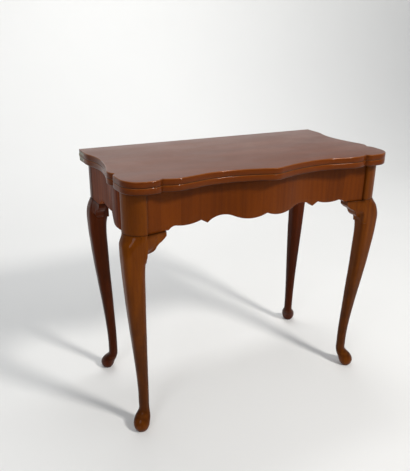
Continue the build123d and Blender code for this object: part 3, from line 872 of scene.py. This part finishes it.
@dataclass
class Leaf(Part):
    """One leaf of the top, with rounded arrises, the field of its cloth and the pockets of its hinges."""

    plan: TopPlan
    bottom: float
    thickness: float
    top_arris: float
    bottom_arris: float
    cloth_up: bool
    hinge_arris: float = 0.0004
    pocket: float = 0.0027
    lip: float = 0.0022
    recess: float = 0.001
    border: float = 0.046
    cloth_corner: float = 0.034
    eye_room: float = 0.0057
    overrun: float = 0.01
    crisp_angle: float = 35.0
    # Painted shade under each lower arris, in the joint and in the notches, and a slight darkening of the
    # upper leaf's top arris.
    under_shade: tuple[float, float] = (0.42, 0.58)
    top_darkening: float = 0.06
    joint_power: int = 6
    notch_shade: float = 0.75
    notch_reach: float = 0.007

    def build(self) -> None:
        """Make the leaf as its plan carried through a rounded profile.

        On an arris of radius r the loop moves inward by r (1 - cos a) and its level lies r (1 - sin a) from
        the face, with a running from 0 at the wall to 90 degrees at the face.
        """
        loop = self.plan.loop()
        turns = np.radians(np.linspace(0, 90, 7))
        angle = np.concatenate([turns[::-1], turns])
        top = np.repeat([False, True], len(turns))
        radius = np.where(top, self.top_arris, self.bottom_arris)[:, None]
        radius = np.where(loop[:, 1] > self.plan.rear - self.hinge_arris, self.hinge_arris, radius)
        plan = loop - outward_normals(loop) * (radius * (1 - np.cos(angle))[:, None])[:, :, None]
        depth = radius * (1 - np.sin(angle))[:, None]
        level = self.bottom + np.where(top[:, None], self.thickness - depth, depth)
        # Painted shade: in the joint between the leaves, darker towards the lower arris of each leaf, and in
        # the notches.
        over = np.sin(angle) ** self.joint_power if self.cloth_up else self.top_darkening
        deep = np.where(top, over, self.under_shade[0] + self.under_shade[1] * np.sqrt(np.sin(angle)))
        corners = self.plan.notches() - np.array([[0.0, 0.0], [self.plan.turret_trim, 0.0]])
        away = np.hypot(*(np.abs(loop[:, None, 0]) - corners[:, 0], loop[:, None, 1] - corners[:, 1]))
        notch = band(away.min(axis=1), self.notch_shade, 0.0, self.notch_reach)
        shade = np.where(top & (not self.cloth_up), np.cos(angle), 1.0)[:, None]
        # The upper arrises are worn lighter, which also paints their highlight.
        shell = Shell().add_tube(stacked(plan, level), (np.sin(2 * angle) * top)[:, None],
                                 np.maximum(deep[:, None], notch * shade))
        made = shell.finish(self, "leaf_wood")
        cut_away(made, self.cutters())
        made.data.set_sharp_from_angle(angle=math.radians(self.crisp_angle))

    def cutters(self) -> list[Array]:
        """Rings of the field of the cloth and of the hinge pockets, to be cut out.

        Returns:
            Rings of each cut.
        """
        face = self.bottom + self.thickness if self.cloth_up else self.bottom
        into = -1 if self.cloth_up else 1
        low, high = sorted((face + into * self.recess, face - into * self.overrun))
        cuts = [prism(self.cloth_loop(self.overrun), low, high)]
        joint, rear = face - into * self.plan.play, self.plan.rear
        turns = np.linspace(0, 2 * math.pi, 40, endpoint=False)
        eye = np.column_stack([rear + self.plan.play + self.eye_room * np.cos(turns),
                               joint + self.eye_room * np.sin(turns)])
        for side in Side:
            word = "fixed" if self.cloth_up else "flap"
            lowest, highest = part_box(f"{side.name.lower()}_{word}_hinge_plate")
            edge = side.value * self.plan.rear_half
            x_low, x_high = sorted((edge + side.value * self.overrun / 2, edge - side.value * self.pocket))
            near, far = sorted((joint + into * self.lip, lowest[2] if self.cloth_up else highest[2]))
            cuts += [box_rings((x_low, lowest[1], near), (x_high, rear + self.overrun, far)),
                     prism(eye, x_low, x_high)[:, :, [2, 0, 1]]]
        return cuts

    def cloth_loop(self, past: float, play: float = 0.0) -> Array:
        """Plan of the cloth.

        Args:
            past: Overrun past the hinge edge.
            play: Play on its other sides.

        Returns:
            The closed loop.
        """
        x = self.plan.rear_half - self.border - play
        y = self.plan.front + self.plan.serpentine + self.border + play
        r, end = self.cloth_corner, self.plan.rear + past
        left, _ = chain([[-x, y + r], [-x + r, y]], -math.pi / 2, 12)
        right, _ = chain([[x - r, y], [x, y + r]], 0.0, 12)
        return np.concatenate([left, right, [[x, end], [-x, end]]])


@dataclass
class Cloth(Part):
    """Playing cloth, laid in the field of a leaf."""

    leaf: Leaf
    play: float = 0.0002

    def build(self) -> None:
        """Make the cloth as a thin prism over its field."""
        low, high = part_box(self.node)
        shell = Shell().add_tube(prism(self.leaf.cloth_loop(0.0, self.play), low[2], high[2]))
        made = shell.finish(self, "playing_cloth")


@dataclass
class CabrioleLeg(Part):
    """Cabriole leg with its post and pad foot.

    The shares of the shoulder are level, reach and corner, and those of the shank are level, outward reach,
    inward reach and corner. A row of the post is level, inset and painted shade, and a lighter band is
    strength, level and reach.
    """

    side: Side
    end: End
    frame: Frame
    post_height: float = 0.111
    knee_inset: float = 0.0005
    knee_corner: float = 0.017
    post_corner: float = 0.044
    seam_corner: float = 0.0085
    inner_corner: float = 0.0004
    rear_reach: float = 0.0155
    rear_corner: float = 0.012
    rear_front: float = 0.015
    rear_back: float = 0.012
    rear_post_corner: float = 0.0015
    rear_flat_share: float = 0.42
    gate_play: float = 0.0008
    pad: float = 0.040
    pad_drop: float = 0.057
    pad_clear: float = 0.0012
    pad_sink: float = 0.0002
    splay: float = 0.0055
    splay_fade: float = 0.030
    foot_splay_share: float = 0.35
    foot_splay_reach: float = 0.12
    fuller: float = 0.0022
    fuller_reach: float = 0.012
    # Lighter bands at the foot and the knee, then painted shade down the lower leg, at the floor and at the
    # seam.
    lighter_bands: Shares = ((0.55, 0.046, 0.007), (0.35, 0.545, 0.035))
    shade: float = 0.60
    shade_level: float = 0.50
    shade_reach: float = 0.22
    foot_edge: float = 0.02
    floor_shade: tuple[float, float] = (0.7, 0.008)
    seam_shade: tuple[float, float] = (0.6, 0.0012)
    post_rows: Shares = ((0.0, 0.0011, 1.0), (0.0005, 0.0004, 0.75), (0.0012, 0.0, 0.12), (0.004, 0.0, 0.0),
                         (0.05, 0.0, 0.0), (0.095, 0.0, 0.0))
    post_head: Shares = ((-0.006, 0.0, 0.25), (0.0, 0.0, 0.8))
    rear_post_rows: Shares = ((0.0, 0.0, 0.5), (0.004, 0.0, 0.0))
    rear_post_levels: tuple[float, float] = (0.65, 0.70)
    rear_post_head: Shares = ((-0.006, 0.0, 0.2), (0.0, 0.0, 0.7))
    shoulder_shares: Shares = (
        (1.0, 1.0, 1.0), (0.990, 0.83, 0.90), (0.970, 0.48, 0.61), (0.950, 0.23, 0.36), (0.929, 0.07, 0.125),
        (0.908, 0.0, 0.0))
    shank_shares: Shares = (
        (0.880, 0.557, 0.445, 0.305), (0.809, 0.522, 0.398, 0.295), (0.731, 0.456, 0.413, 0.290),
        (0.652, 0.385, 0.427, 0.280), (0.578, 0.305, 0.445, 0.270), (0.495, 0.213, 0.476, 0.262),
        (0.413, 0.124, 0.498, 0.252), (0.330, 0.045, 0.522, 0.245), (0.248, -0.018, 0.547, 0.243),
        (0.165, -0.050, 0.560, 0.247), (0.120, -0.050, 0.560, 0.250), (0.097, -0.030, 0.556, 0.256),
        (0.080, 0.085, 0.547, 0.315), (0.064, 0.235, 0.522, 0.370), (0.046, 0.345, 0.462, 0.395),
        (0.028, 0.378, 0.405, 0.380), (0.012, 0.335, 0.342, 0.330), (0.0, 0.255, 0.255, 0.250))

    @property
    def front(self) -> bool:
        """Whether this is a front leg."""
        return self.end is End.FRONT

    @property
    def out(self) -> tuple[int, int]:
        """Signs of the leg's outward corner along X and Y."""
        return self.side.value, self.end.value

    @property
    def centre(self) -> Array:
        """Middle of the leg in plan."""
        y = self.frame.front_leg_y if self.front else self.frame.rear_leg_y
        return np.array([self.side.value * self.frame.leg_x, y])

    @property
    def back(self) -> float:
        """Place of a rear leg's flat back."""
        return self.frame.rear_leg_y + self.rear_back

    @property
    def knee_top(self) -> float:
        """Level of the seam between post and knee."""
        return self.frame.leaf_bottom - self.post_height

    @property
    def ledge(self) -> float:
        """Level of the knee's top under the side apron, on a rear leg."""
        return self.frame.apron_end - (self.gate_play if self.body == "gate" else 0.0)

    def stations(self) -> Array:
        """Level, outward reach, inward reach and four corner radii of each section, from the floor up.

        Returns:
            One section a row.
        """
        stock, knee, corner = self.frame.stock, self.frame.knee_reach, self.knee_corner
        post = (stock / 2, self.post_corner, self.seam_corner) if self.front \
            else (self.rear_reach, self.rear_corner, self.rear_corner)
        height, reach, round_share = np.array(self.shoulder_shares).T
        outer, seam = (corner + round_share * (radius - corner) for radius in post[1:])
        same = np.ones_like(height)
        shoulder = np.column_stack([height * self.knee_top, knee + reach * (post[0] - knee),
                                    same * (stock / 2 - self.knee_inset), outer, seam, same * corner, seam])
        height, *widths, corner_share = np.array(self.shank_shares).T
        shank = np.column_stack([height * self.knee_top] + [share * stock for share in widths]
                                + [corner_share * stock] * 4)
        return np.vstack([shoulder, shank])[::-1]

    def build(self) -> None:
        """Make the leg as sections carried up a smooth path, with its post and the pad for its brackets."""
        rows = smooth_path(self.stations(), 190)
        level = rows[:, 0]
        plan = rounded_square(self.centre, self.out, rows[:, 1], rows[:, 2], rows[:, 3:], 8)
        if not self.front:
            flat = level > self.rear_flat_share * self.knee_top
            plan[flat, :, 1] = np.minimum(plan[flat, :, 1], self.back)
            keep = level < self.ledge
            plan, level = plan[keep], level[keep]
            level[-1] = self.ledge
        fade = self.fade(level)[:, None]
        full = self.fuller * np.tanh((plan - self.centre) / self.fuller_reach)
        if self.front:
            plan[:, :, 0] += fade * (self.side.value * self.splay + full[:, :, 0])
        else:
            plan[:, :, 1] += 2 * fade * np.minimum(full[:, :, 1], 0)
        # Lighter bands at the foot and at the knee; painted shade down the lower leg, at the floor and at the
        # seam.
        wear = sum(band(level, *worn) for worn in self.lighter_bands)
        grime = self.shade * np.clip((self.shade_level - level) / self.shade_reach, 0, 1) \
            * np.clip(level / self.foot_edge - 1, 0, 1)
        for (strength, reach), away in ((self.floor_shade, level), (self.seam_shade, level[-1] - level)):
            grime = grime + strength * np.exp(-away / reach)
        shell = Shell().add_tube(stacked(plan, level), wear[:, None], grime[:, None])
        self.add_post(shell)
        self.add_pad(shell)
        shell.finish(self, "leg_wood")

    def fade(self, level: Array) -> Array:
        """Share of the splay at given levels: none at the post, all at the knee, less at the foot."""
        near_floor = np.clip(self.foot_splay_share + level / self.foot_splay_reach, 0, 1)
        return eased((self.knee_top - level) / self.splay_fade) * near_floor

    def face(self, level: Array, along_x: bool) -> Array:
        """Distance from the middle of the leg to its outward face.

        Args:
            level: Levels at which it is wanted.
            along_x: Whether the face looks along X.

        Returns:
            One distance a level.
        """
        rows = self.stations()
        reach = np.interp(level, rows[:, 0], rows[:, 1])
        return reach + self.fade(level) * (self.splay + self.fuller) if along_x and self.front else reach

    def add_post(self, shell: Shell) -> None:
        """Add the post above the knee, with a softened lower edge on a front leg.

        Args:
            shell: Surface of the leg.
        """
        top = self.frame.gate_top if self.body == "gate" else self.frame.leaf_bottom
        if self.front:
            foot, between, head, start = self.post_rows, [], self.post_head, self.knee_top
        else:
            foot, head, start = self.rear_post_rows, self.rear_post_head, self.ledge
            between = [(level, 0.0, 0.0) for level in self.rear_post_levels]
        level, inset, grime = np.vstack([np.array(foot) + np.array([start, 0, 0]), *between,
                                         np.array(head) + np.array([top, 0, 0])]).T
        if self.front:
            half = np.full(len(level), self.frame.stock / 2)
            radii = np.tile([self.post_corner, self.seam_corner, self.inner_corner, self.seam_corner],
                            (len(level), 1))
            plan = rounded_square(self.centre, self.out, half - inset, half, radii, 12)
        else:
            inner, outer = self.frame.post_inner, self.frame.leg_x + self.rear_reach
            size = np.array([outer - inner, self.rear_back + self.rear_front]) / 2
            middle = np.array([self.side.value * (inner + outer) / 2, self.back - size[1]])
            unit = np.ones(len(level))
            corners = np.full((len(level), 4), self.rear_post_corner / size[1])
            plan = rounded_square(np.zeros(2), (1, 1), unit, unit, corners, 4) * size + middle
        # Painted shade from the rows' third values, at the seam over the knee and under the leaf.
        shell.add_tube(stacked(plan, level), 0.0, grime[:, None])

    def add_pad(self, shell: Shell) -> None:
        """Add the flat pad on the two inner faces of the knee, where the brackets are glued.

        Args:
            shell: Surface of the leg.
        """
        inner = self.frame.stock / 2
        xs, ys = (sorted((middle - out * inner, middle + out * (self.pad - inner)))
                  for middle, out in zip(self.centre, self.out))
        if not self.front:
            ys[1] = min(ys[1], self.back - self.pad_clear)
        high = self.knee_top if self.front else self.ledge
        shell.add_tube(box_rings((xs[0], ys[0], self.frame.apron_end - self.pad_drop),
                                 (xs[1], ys[1], high - self.pad_sink)))


@dataclass
class Apron(Part):
    """Veneered board with a shaped face and a scalloped lower edge."""

    frame: Frame
    rise: float = 0.017
    arris: float = 0.0012
    edge_wear: float = 0.7
    edge_reach: float = 0.0015
    face_depth: float = 0.002
    # Painted shade at the ends beside the posts, and painted shadow under the leaf.
    end_shade: float = 0.75
    end_reach: float = 0.003
    top_darkening: float = 0.55
    top_reach: float = 0.006

    def carry(self, along: Array, face: Array, back: float, low: Array, ends: Array, turn: int) -> None:
        """Carry the board lengthwise, worn at its lower edge, with painted shade at its ends and under the
        top.

        Args:
            along: Place of each ring.
            face: Place of the face at each ring.
            back: Place of the back.
            low: Lower edge at each ring.
            ends: How near an end each ring is.
            turn: Side of the table that it faces, or 0 at the front.
        """
        high = self.frame.leaf_bottom
        rings = ribbon(along, face, back, low, high, self.arris)
        over = np.maximum(rings[:, :, 2] - low[:, None], 0)
        near_face = np.abs(rings[:, :, 1] - face[:, None]) < self.face_depth
        wear = self.edge_wear * np.exp(-over / self.edge_reach) * near_face
        # Painted shade at the ends and painted shadow under the leaf.
        grime = np.maximum(self.end_shade * ends[:, None],
                           self.top_darkening * np.exp(-(high - rings[:, :, 2]) / self.top_reach))
        if turn:
            rings = rings[:, :, [1, 0, 2]] * np.array([turn, 1, 1])
        order = slice(None, None, -1) if turn < 0 else slice(None)
        Shell().add_tube(rings[:, order], wear[:, order], grime[:, order]).finish(self, "veneered_apron")


@dataclass
class FrontApron(Apron):
    """Serpentine front apron."""

    end_face: float = 0.0515
    hollow_face: float = 0.066
    centre_face: float = 0.042
    hollow_share: float = 0.51
    scallop_shares: Arcs = (
        ((0.0, 0.68), (0.125, 0.09), (0.28, 0.70)), ((0.28, 0.70), (0.39, 1.04), (0.494, 0.06)),
        ((0.549, 0.68), (0.66, 0.27), (0.765, 0.50)), ((0.765, 0.50), (0.80, 0.36), (0.823, 0.0)))

    def build(self) -> None:
        """Make the apron along its serpentine."""
        half = self.frame.post_inner
        hollow = self.hollow_share * half
        bows, _ = chain([[0, self.centre_face], [hollow / 2, (self.centre_face + self.hollow_face) / 2],
                         [hollow, self.hollow_face], [half, self.end_face]], 0.0, 40)
        scale, start = np.array([half, self.rise]), np.array([0, self.frame.apron_end])
        runs = np.array(self.scallop_shares) * scale + start
        tips = runs[:, 2, 0]
        along = np.unique(np.concatenate([np.linspace(-half, half, 321), -tips, tips]))
        away = np.abs(along)
        face = self.frame.front + np.interp(away, bows[:, 0], bows[:, 1])
        self.carry(along, face, self.frame.apron_back, heights(runs, away),
                   np.exp((away - half) / self.end_reach), 0)


@dataclass
class SideApron(Apron):
    """Side apron with a swelling face."""

    side: Side = Side.LEFT
    front_inset: float = 0.0105
    bulge_inset: float = 0.0025
    hollow_inset: float = 0.0155
    inner_inset: float = 0.0355
    rear_reach: float = 0.0155
    rear_post: float = 0.015
    rear_gap: float = 0.0015
    gate_gap: float = 0.0042
    bulge_share: float = 0.143
    hollow_share: float = 0.509
    # Painted shade in the gap before the gate leg.
    gate_gap_shade: float = 1.3
    gate_reach: float = 0.005
    lobe_shares: Shares = ((-0.33, 1.40), (0.0, 0.94), (0.33, 1.40))
    scallop_shares: Arcs = (((0.33, 1.40), (0.43, 1.10), (0.50, 0.68)),
                            ((0.50, 0.68), (0.57, 0.22), (0.66, 0.0)))

    def build(self) -> None:
        """Make the apron from the front post to its rear end."""
        outer = self.frame.leg_x + self.frame.stock / 2
        first = self.frame.front_leg_y + self.frame.stock / 2
        rear = self.frame.rear_leg_y - self.rear_post
        last = rear - (self.gate_gap if self.side is Side.LEFT else 0.0)
        length = rear - self.rear_gap - first
        bulge = np.array([first + self.bulge_share * length, outer - self.bulge_inset])
        hollow = np.array([first + self.hollow_share * length, outer - self.hollow_inset])
        into, _ = chain([bulge * [-1, 1], [-first, outer - self.front_inset]], 0.0, 14)
        onward, _ = chain([bulge, (bulge + hollow) / 2, hollow, [last, self.frame.leg_x + self.rear_reach]],
                          0.0, 40)
        plan = np.vstack([into[::-1] * [-1, 1], onward[1:]])
        right = np.array(self.scallop_shares)
        shares = np.concatenate([right[::-1, ::-1] * [-1, 1], [self.lobe_shares], right])
        middle = np.array([first + length / 2, self.frame.apron_end])
        runs = shares * np.array([length / 2, self.rise]) + middle
        along = np.unique(np.concatenate([np.linspace(first, last, 161), runs[:, 2, 0]]))
        ends = np.maximum(np.exp((first - along) / self.end_reach),
                          self.gate_gap_shade * np.exp((along - last) / self.gate_reach))
        face = np.interp(along, plan[:, 0], plan[:, 1])
        self.carry(along, face, outer - self.inner_inset, heights(runs, along), ends, self.side.value)


@dataclass
class KneeBracket(Part):
    """Carved bracket between a knee and an apron, with a stepped lower edge."""

    leg: CabrioleLeg
    clear: float
    sunk: float = 0.0003
    overlap: float = 0.022
    top_play: float = 0.0002
    flare: float = 0.018
    flare_reach: float = 0.0056
    hug_share: float = 0.55
    fade: float = 0.024
    arris: float = 0.0018
    top_reach: float = 0.0030
    blunt_share: float = 0.15
    arc_shares: Arcs = (
        ((0.0, 0.0), (0.26, 0.34), (0.41, 0.46)), ((0.41, 0.46), (0.56, 0.55), (0.66, 0.72)),
        ((0.66, 0.72), (0.80, 0.90), (1.0, 1.0)))

    def swell(self, board: Array, start: float, along_x: bool, inward: int) -> None:
        """Let the face rise from its flat tip to the face of the knee.

        At share s of its length the face stands proud by d (1 - cos(pi s)) / 2, where d is the distance from
        the bracket's flat face to the knee's face at the same level.

        Args:
            board: Rings along the bracket, as along, across and up, which are moved.
            start: Distance of the flat face from the middle of the leg.
            along_x: Whether the bracket faces along X.
            inward: Sign of the direction away from the face.
        """
        rise = (1 - np.cos(math.pi * board[:, :, 0] / board[-1, 0, 0])) / 2
        proud = (self.leg.face(board[:, :, 2], along_x) - self.sunk - start) * rise
        board[:, :-2, 1] -= inward * proud[:, :-2]

    def hug(self, board: Array, reach: float, edge: Array, inward: int) -> None:
        """Draw the lower edge back near the leg, so that it meets the knee's rounded corner.

        Past the leg's face the depth is r - sqrt(r^2 - (r - o)^2), where o is the overlap and r the radius of
        the knee's corner, and it fades out upwards.

        Args:
            board: Rings along the bracket, as along, across and up, which are moved.
            reach: Length of the bracket as far as the leg.
            edge: Lower edge at each ring.
            inward: Sign of the direction away from the face.
        """
        along, corner = board[:, 0, 0], self.leg.knee_corner
        past = np.clip(corner - np.maximum(along - reach - self.clear, 0), 0, corner)
        depth = (corner - np.sqrt(corner**2 - past**2)) * eased((along / reach - self.hug_share)
                                                                / (1 - self.hug_share))
        low = 1 - eased((board[:, :, 2] - edge[:, None]) / self.fade)
        board[:, :-2, 1] += inward * (depth[:, None] * low)[:, :-2]

    def build(self) -> None:
        """Make the bracket as a board carried from its tip into the leg."""
        low, high = (np.array(corner, float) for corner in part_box(self.node))
        side, front = self.leg.side.value, "front_bracket" in self.node
        axis, onward, inward = (0, side, 1) if front else (1, self.leg.end.value, -side)
        reach = high[axis] - low[axis]
        shares = np.array(self.arc_shares)
        before = np.unique(np.concatenate([np.linspace(self.blunt_share, 1, 61), shares[:, 2, 0]]))
        flared = self.flare_reach * np.sin(np.linspace(0, math.pi / 2, 9)[1:])
        inside = np.linspace(self.flare_reach, self.overlap, 9)[1:]
        along = np.concatenate([reach * before, reach + flared, reach + inside])
        runs = shares * np.array([reach, low[2] - high[2]]) + np.array([0, high[2]])
        turn = np.clip((along - reach) / self.flare_reach, 0, 1)
        drop = self.flare * (1 - np.sqrt(1 - turn**2))
        edge = np.minimum(heights(runs, along), high[2] - self.top_play) - drop
        face, back = (low, high) if inward > 0 else (high, low)
        board = ribbon(along, face[1 - axis], back[1 - axis], edge, high[2], self.arris)
        self.swell(board, abs(face[1 - axis] - self.leg.centre[1 - axis]), not front, inward)
        self.hug(board, reach, edge, inward)
        rings = board if front else board[:, :, [1, 0, 2]]
        rings[:, :, axis] = onward * rings[:, :, axis] + (low if onward > 0 else high)[axis]
        flipped = onward * inward * (1 if front else -1) < 0
        rings = rings[:, ::-1] if flipped else rings
        # Painted shade along the top, under the apron.
        grime = np.exp(-(rings[:, :, 2].max() - rings[:, :, 2]) / self.top_reach)
        Shell().add_tube(rings, 0.0, grime).finish(self, "bracket_wood")


def aimed(direction: Array) -> Matrix:
    """Turn that points the -Z axis along a direction and keeps X level.

    Args:
        direction: Where the axis points.

    Returns:
        The turn.
    """
    back = -direction / np.linalg.norm(direction)
    right = np.cross([0.0, 0.0, 1.0], back)
    right = right / np.linalg.norm(right)
    return Matrix(np.column_stack([right, np.cross(back, right), back]).tolist())


@dataclass(frozen=True)
class Lamp:
    """Soft round lamp that looks at a point."""

    name: str
    place: Point
    target: Point
    size: float
    power: float
    colour: Point = (1.0, 1.0, 1.0)

    def build(self) -> None:
        """Hang the lamp."""
        light = bpy.data.lights.new(self.name, "AREA")
        light.shape = "DISK"
        light.size = self.size
        light.energy = self.power
        light.color = self.colour
        lamp = placed(self.name, light)
        lamp.matrix_world = aimed(np.array(self.target) - np.array(self.place)).to_4x4()
        lamp.location = self.place


@dataclass(frozen=True)
class Studio:
    """Pale floor that bends up into a backdrop, soft lamps and a pale room."""

    bend: float = 1.3
    back: float = 3.0
    near: float = -7.0
    height: float = 7.0
    half_width: float = 9.0
    floor_drop: float = 0.0005
    floor_tones: tuple[Colour, Colour] = ((0.80, 0.80, 0.79, 1.0), (0.83, 0.83, 0.82, 1.0))
    floor_pattern: Noise = Noise(1.5, 2.0, 0.55)
    room: Colour = (0.93, 0.96, 1.0, 1.0)
    room_strength: float = 0.36
    lamps: tuple[Lamp, ...] = (
        Lamp("key", (1.2, -2.6, 2.9), (0.0, 0.0, 0.5), 0.6, 100.0, (1.0, 0.97, 0.93)),
        Lamp("fill", (-2.4, -2.1, 2.2), (0.0, 0.0, 0.5), 1.2, 20.0, (0.94, 0.97, 1.0)),
        Lamp("backdrop_lamp", (0.4, 0.9, 3.6), (0.9, 3.0, 2.0), 1.6, 62.0))

    def build(self) -> None:
        """Make the floor, the lamps and the world."""
        turn = np.linspace(0, math.pi / 2, 25)
        curve = self.bend * np.column_stack([np.sin(turn), 1 - np.cos(turn)]) + [self.back - self.bend, 0.0]
        profile = np.vstack([[self.near, 0.0], curve, [self.back, self.height]])
        points = np.vstack([np.insert(profile, 0, x, axis=1) for x in (-self.half_width, self.half_width)])
        rows = np.arange(len(profile) - 1)
        quads = np.column_stack([rows, rows + len(profile), rows + len(profile) + 1, rows + 1])
        mesh = bpy.data.meshes.new("floor")
        mesh.from_pydata((points - np.array([0, 0, self.floor_drop])).tolist(), [], quads.tolist())
        mesh.polygons.foreach_set("use_smooth", [True] * len(mesh.polygons))
        floor = placed("floor", mesh)
        material, graph, shader, place = plain_material("pale_floor")
        tone = graph.mix(graph.noise(place, self.floor_pattern), *self.floor_tones)
        graph.feed(shader, {"Base Color": tone, "Roughness": 0.9, "Specular IOR Level": 0.1})
        mesh.materials.append(material)
        world = bpy.data.worlds.new("pale_room")
        world.use_nodes = True
        background = world.node_tree.nodes["Background"]
        Graph(world.node_tree).feed(background, {"Color": self.room, "Strength": self.room_strength})
        bpy.context.scene.world = world
        for lamp in self.lamps:
            lamp.build()


@dataclass(frozen=True)
class Viewpoint:
    """Camera of the photograph, with its turns in degrees and its focal length in pixels."""

    place: Point = (-0.7676, -1.3234, 1.0819)
    yaw: float = 26.711
    down: float = 21.354
    roll: float = 0.622
    focal_pixels: float = 530.3
    long_side: float = 471.0

    def build(self) -> None:
        """Place the camera."""
        lens = bpy.data.cameras.new("camera")
        lens.sensor_width = 36.0
        lens.lens = self.focal_pixels / self.long_side * lens.sensor_width
        view = placed("camera", lens)
        yaw, down, roll = (math.radians(angle) for angle in (self.yaw, self.down, self.roll))
        ahead = np.array([math.sin(yaw) * math.cos(down), math.cos(yaw) * math.cos(down), -math.sin(down)])
        level = np.array([math.cos(yaw), -math.sin(yaw), 0.0])
        up = np.cross(level, ahead)
        right = math.cos(roll) * level + math.sin(roll) * up
        top = -math.sin(roll) * level + math.cos(roll) * up
        view.matrix_world = Matrix(np.column_stack([right, top, -ahead]).tolist()).to_4x4()
        view.location = self.place
        bpy.context.scene.camera = view


def dress(nodes: dict[str, Piece], names: tuple[str, ...], material: Material) -> None:
    """Give nodes of the frame that stay a finish of their own.

    Args:
        nodes: Objects of the frame by name.
        names: Nodes to dress.
        material: Their finish.
    """
    for name in names:
        materials = nodes[name].data.materials
        materials.clear()
        materials.append(material)


def table_top(places: Frame) -> None:
    """Make both leaves and their cloths.

    Args:
        places: Levels and places of the frame.
    """
    plan = TopPlan(places.front, places.width)
    wood = Timber("varnished_leaf", dark=(0.068, 0.012, 0.001, 1.0), light=(0.168, 0.034, 0.001, 1.0),
                  contrast=0.34, sheen=0.14, coat=0.175, coat_roughness=0.13, smears=0.03).build()
    baize = Baize("green_baize", (0.012, 0.055, 0.022, 1.0), (0.028, 0.105, 0.045, 1.0)).build()
    thickness = places.leaf_thickness
    for word, body, bottom, top_arris, bottom_arris in (
            ("fixed", "frame", places.leaf_bottom, 0.0018, 0.0027),
            ("flap", "flap", places.top_level - thickness, 0.0027, 0.0024)):
        leaf = Leaf(f"{word}_leaf_board", f"{word}_leaf", body, wood, plan, bottom, thickness, top_arris,
                    bottom_arris, cloth_up=word == "fixed")
        leaf.build()
        Cloth(f"{word}_leaf_baize", f"{word}_cloth", body, baize, leaf).build()


def aprons(places: Frame) -> None:
    """Make the veneered front and side aprons.

    Args:
        places: Levels and places of the frame.
    """
    front = Timber("front_veneer", (0.060, 0.011, 0.001, 1.0), (0.158, 0.034, 0.001, 1.0), Grain.UPRIGHT,
                   veneer_width=0.058, veneer_offset=0.276, veneer_contrast=0.16, contrast=0.34,
                   pith=(0.0, 0.10, 0.30), sheen=0.10, coat=0.10).build()
    FrontApron("veneered_front_apron", "front_apron", "frame", front, places).build()
    side = Timber("side_veneer", (0.058, 0.008, 0.001, 1.0), (0.190, 0.036, 0.004, 1.0), Grain.UPRIGHT,
                  pith=(0.0, 0.30, 0.10), sheen=0.01, coat=0.035, contrast=0.8).build()
    for turn in Side:
        node = f"{turn.name.lower()}_side_apron"
        SideApron(f"veneered_{node}", node, "frame", side, places, side=turn).build()


def legs(places: Frame) -> None:
    """Make the four legs and their brackets.

    Args:
        places: Levels and places of the frame.
    """
    tones = {End.FRONT: {"dark": (0.060, 0.012, 0.001, 1.0), "light": (0.170, 0.043, 0.001, 1.0),
                         "sheen": 0.08, "coat": 0.12},
             # The rear legs and their brackets get darker tones, as painted shade.
             End.REAR: {"dark": (0.036, 0.005, 0.001, 1.0), "light": (0.088, 0.015, 0.002, 1.0),
                        "sheen": 0.09, "coat": 0.08}}
    words = {"leg": {End.FRONT: "varnished_leg", End.REAR: "varnished_rear_leg"},
             "bracket": {End.FRONT: "varnished_bracket", End.REAR: "varnished_rear_bracket"}}
    wood = {(part, end): Timber(names[end], grain=Grain.UPRIGHT, pith=(0.0, 0.30, 0.05), contrast=0.5,
                                **tones[end]).build() for part, names in words.items() for end in End}
    made: dict[str, CabrioleLeg] = {}
    for node, body, side, end in (("front_left_leg", "frame", Side.LEFT, End.FRONT),
                                  ("front_right_leg", "frame", Side.RIGHT, End.FRONT),
                                  ("rear_right_leg", "frame", Side.RIGHT, End.REAR),
                                  ("gate_leg", "gate", Side.LEFT, End.REAR)):
        made[node] = CabrioleLeg(f"cabriole_{node}", node, body, wood["leg", end], side, end, places)
        made[node].build()
    for node, name, clear in (("left_front_bracket", "front_left_leg", 0.0038),
                              ("right_front_bracket", "front_right_leg", 0.0038),
                              ("left_side_bracket", "front_left_leg", 0.0005),
                              ("right_side_bracket", "front_right_leg", 0.0005),
                              ("rear_right_bracket", "rear_right_leg", -0.0039),
                              ("gate_bracket", "gate_leg", -0.0039)):
        leg = made[name]
        KneeBracket(f"carved_{node}", node, leg.body, wood["bracket", leg.end], leg, clear).build()


def hidden_pieces(nodes: dict[str, Piece]) -> None:
    """Give the rails, blocks and fittings of the frame their finishes.

    Args:
        nodes: Objects of the frame by name.
    """
    planed = {"dark": (0.20, 0.095, 0.042, 1.0), "light": (0.42, 0.24, 0.12, 1.0), "coat": 0.0,
              "roughness": 0.62, "relief": 0.00015, "pores": 0.7}
    along = Timber("planed_rail", grain=Grain.ALONG_X, **planed).build()
    back = Timber("planed_across", grain=Grain.ALONG_Y, **planed).build()
    brass = Metal("dull_brass", (0.22, 0.19, 0.09, 1.0), (0.045, 0.055, 0.042, 1.0), 0.42,
                  tarnish_amount=0.85).build()
    iron = Metal("iron_pin", (0.16, 0.15, 0.14, 1.0), (0.07, 0.045, 0.03, 1.0), 0.5).build()
    steel = Metal("steel_screws", (0.42, 0.41, 0.39, 1.0), (0.12, 0.10, 0.08, 1.0), 0.4).build()
    dress(nodes, ("inner_back_rail", "knuckle_rail", "fly_rail", "packing_strip", "front_left_block",
                  "front_right_block", "back_left_block", "back_right_block"), along)
    dress(nodes, ("centre_brace", "left_block", "right_block"), back)
    dress(nodes, tuple(name for name in nodes if name.endswith("hinge_plate")), brass)
    dress(nodes, ("left_hinge_pin", "right_hinge_pin"), brass)
    dress(nodes, ("knuckle_pin",), iron)
    dress(nodes, tuple(name for name in nodes if name.endswith("screws")), steel)


def main() -> None:
    """Build every piece in order, then the studio and the camera."""
    logging.basicConfig(level=logging.INFO, format="%(message)s")
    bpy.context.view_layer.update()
    bpy.context.scene.view_settings.view_transform = "Standard"
    places = Frame.read()
    table_top(places)
    aprons(places)
    legs(places)
    hidden_pieces(frame["nodes"])
    Studio().build()
    Viewpoint().build()
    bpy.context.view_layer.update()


if __name__ == "__main__":
    main()
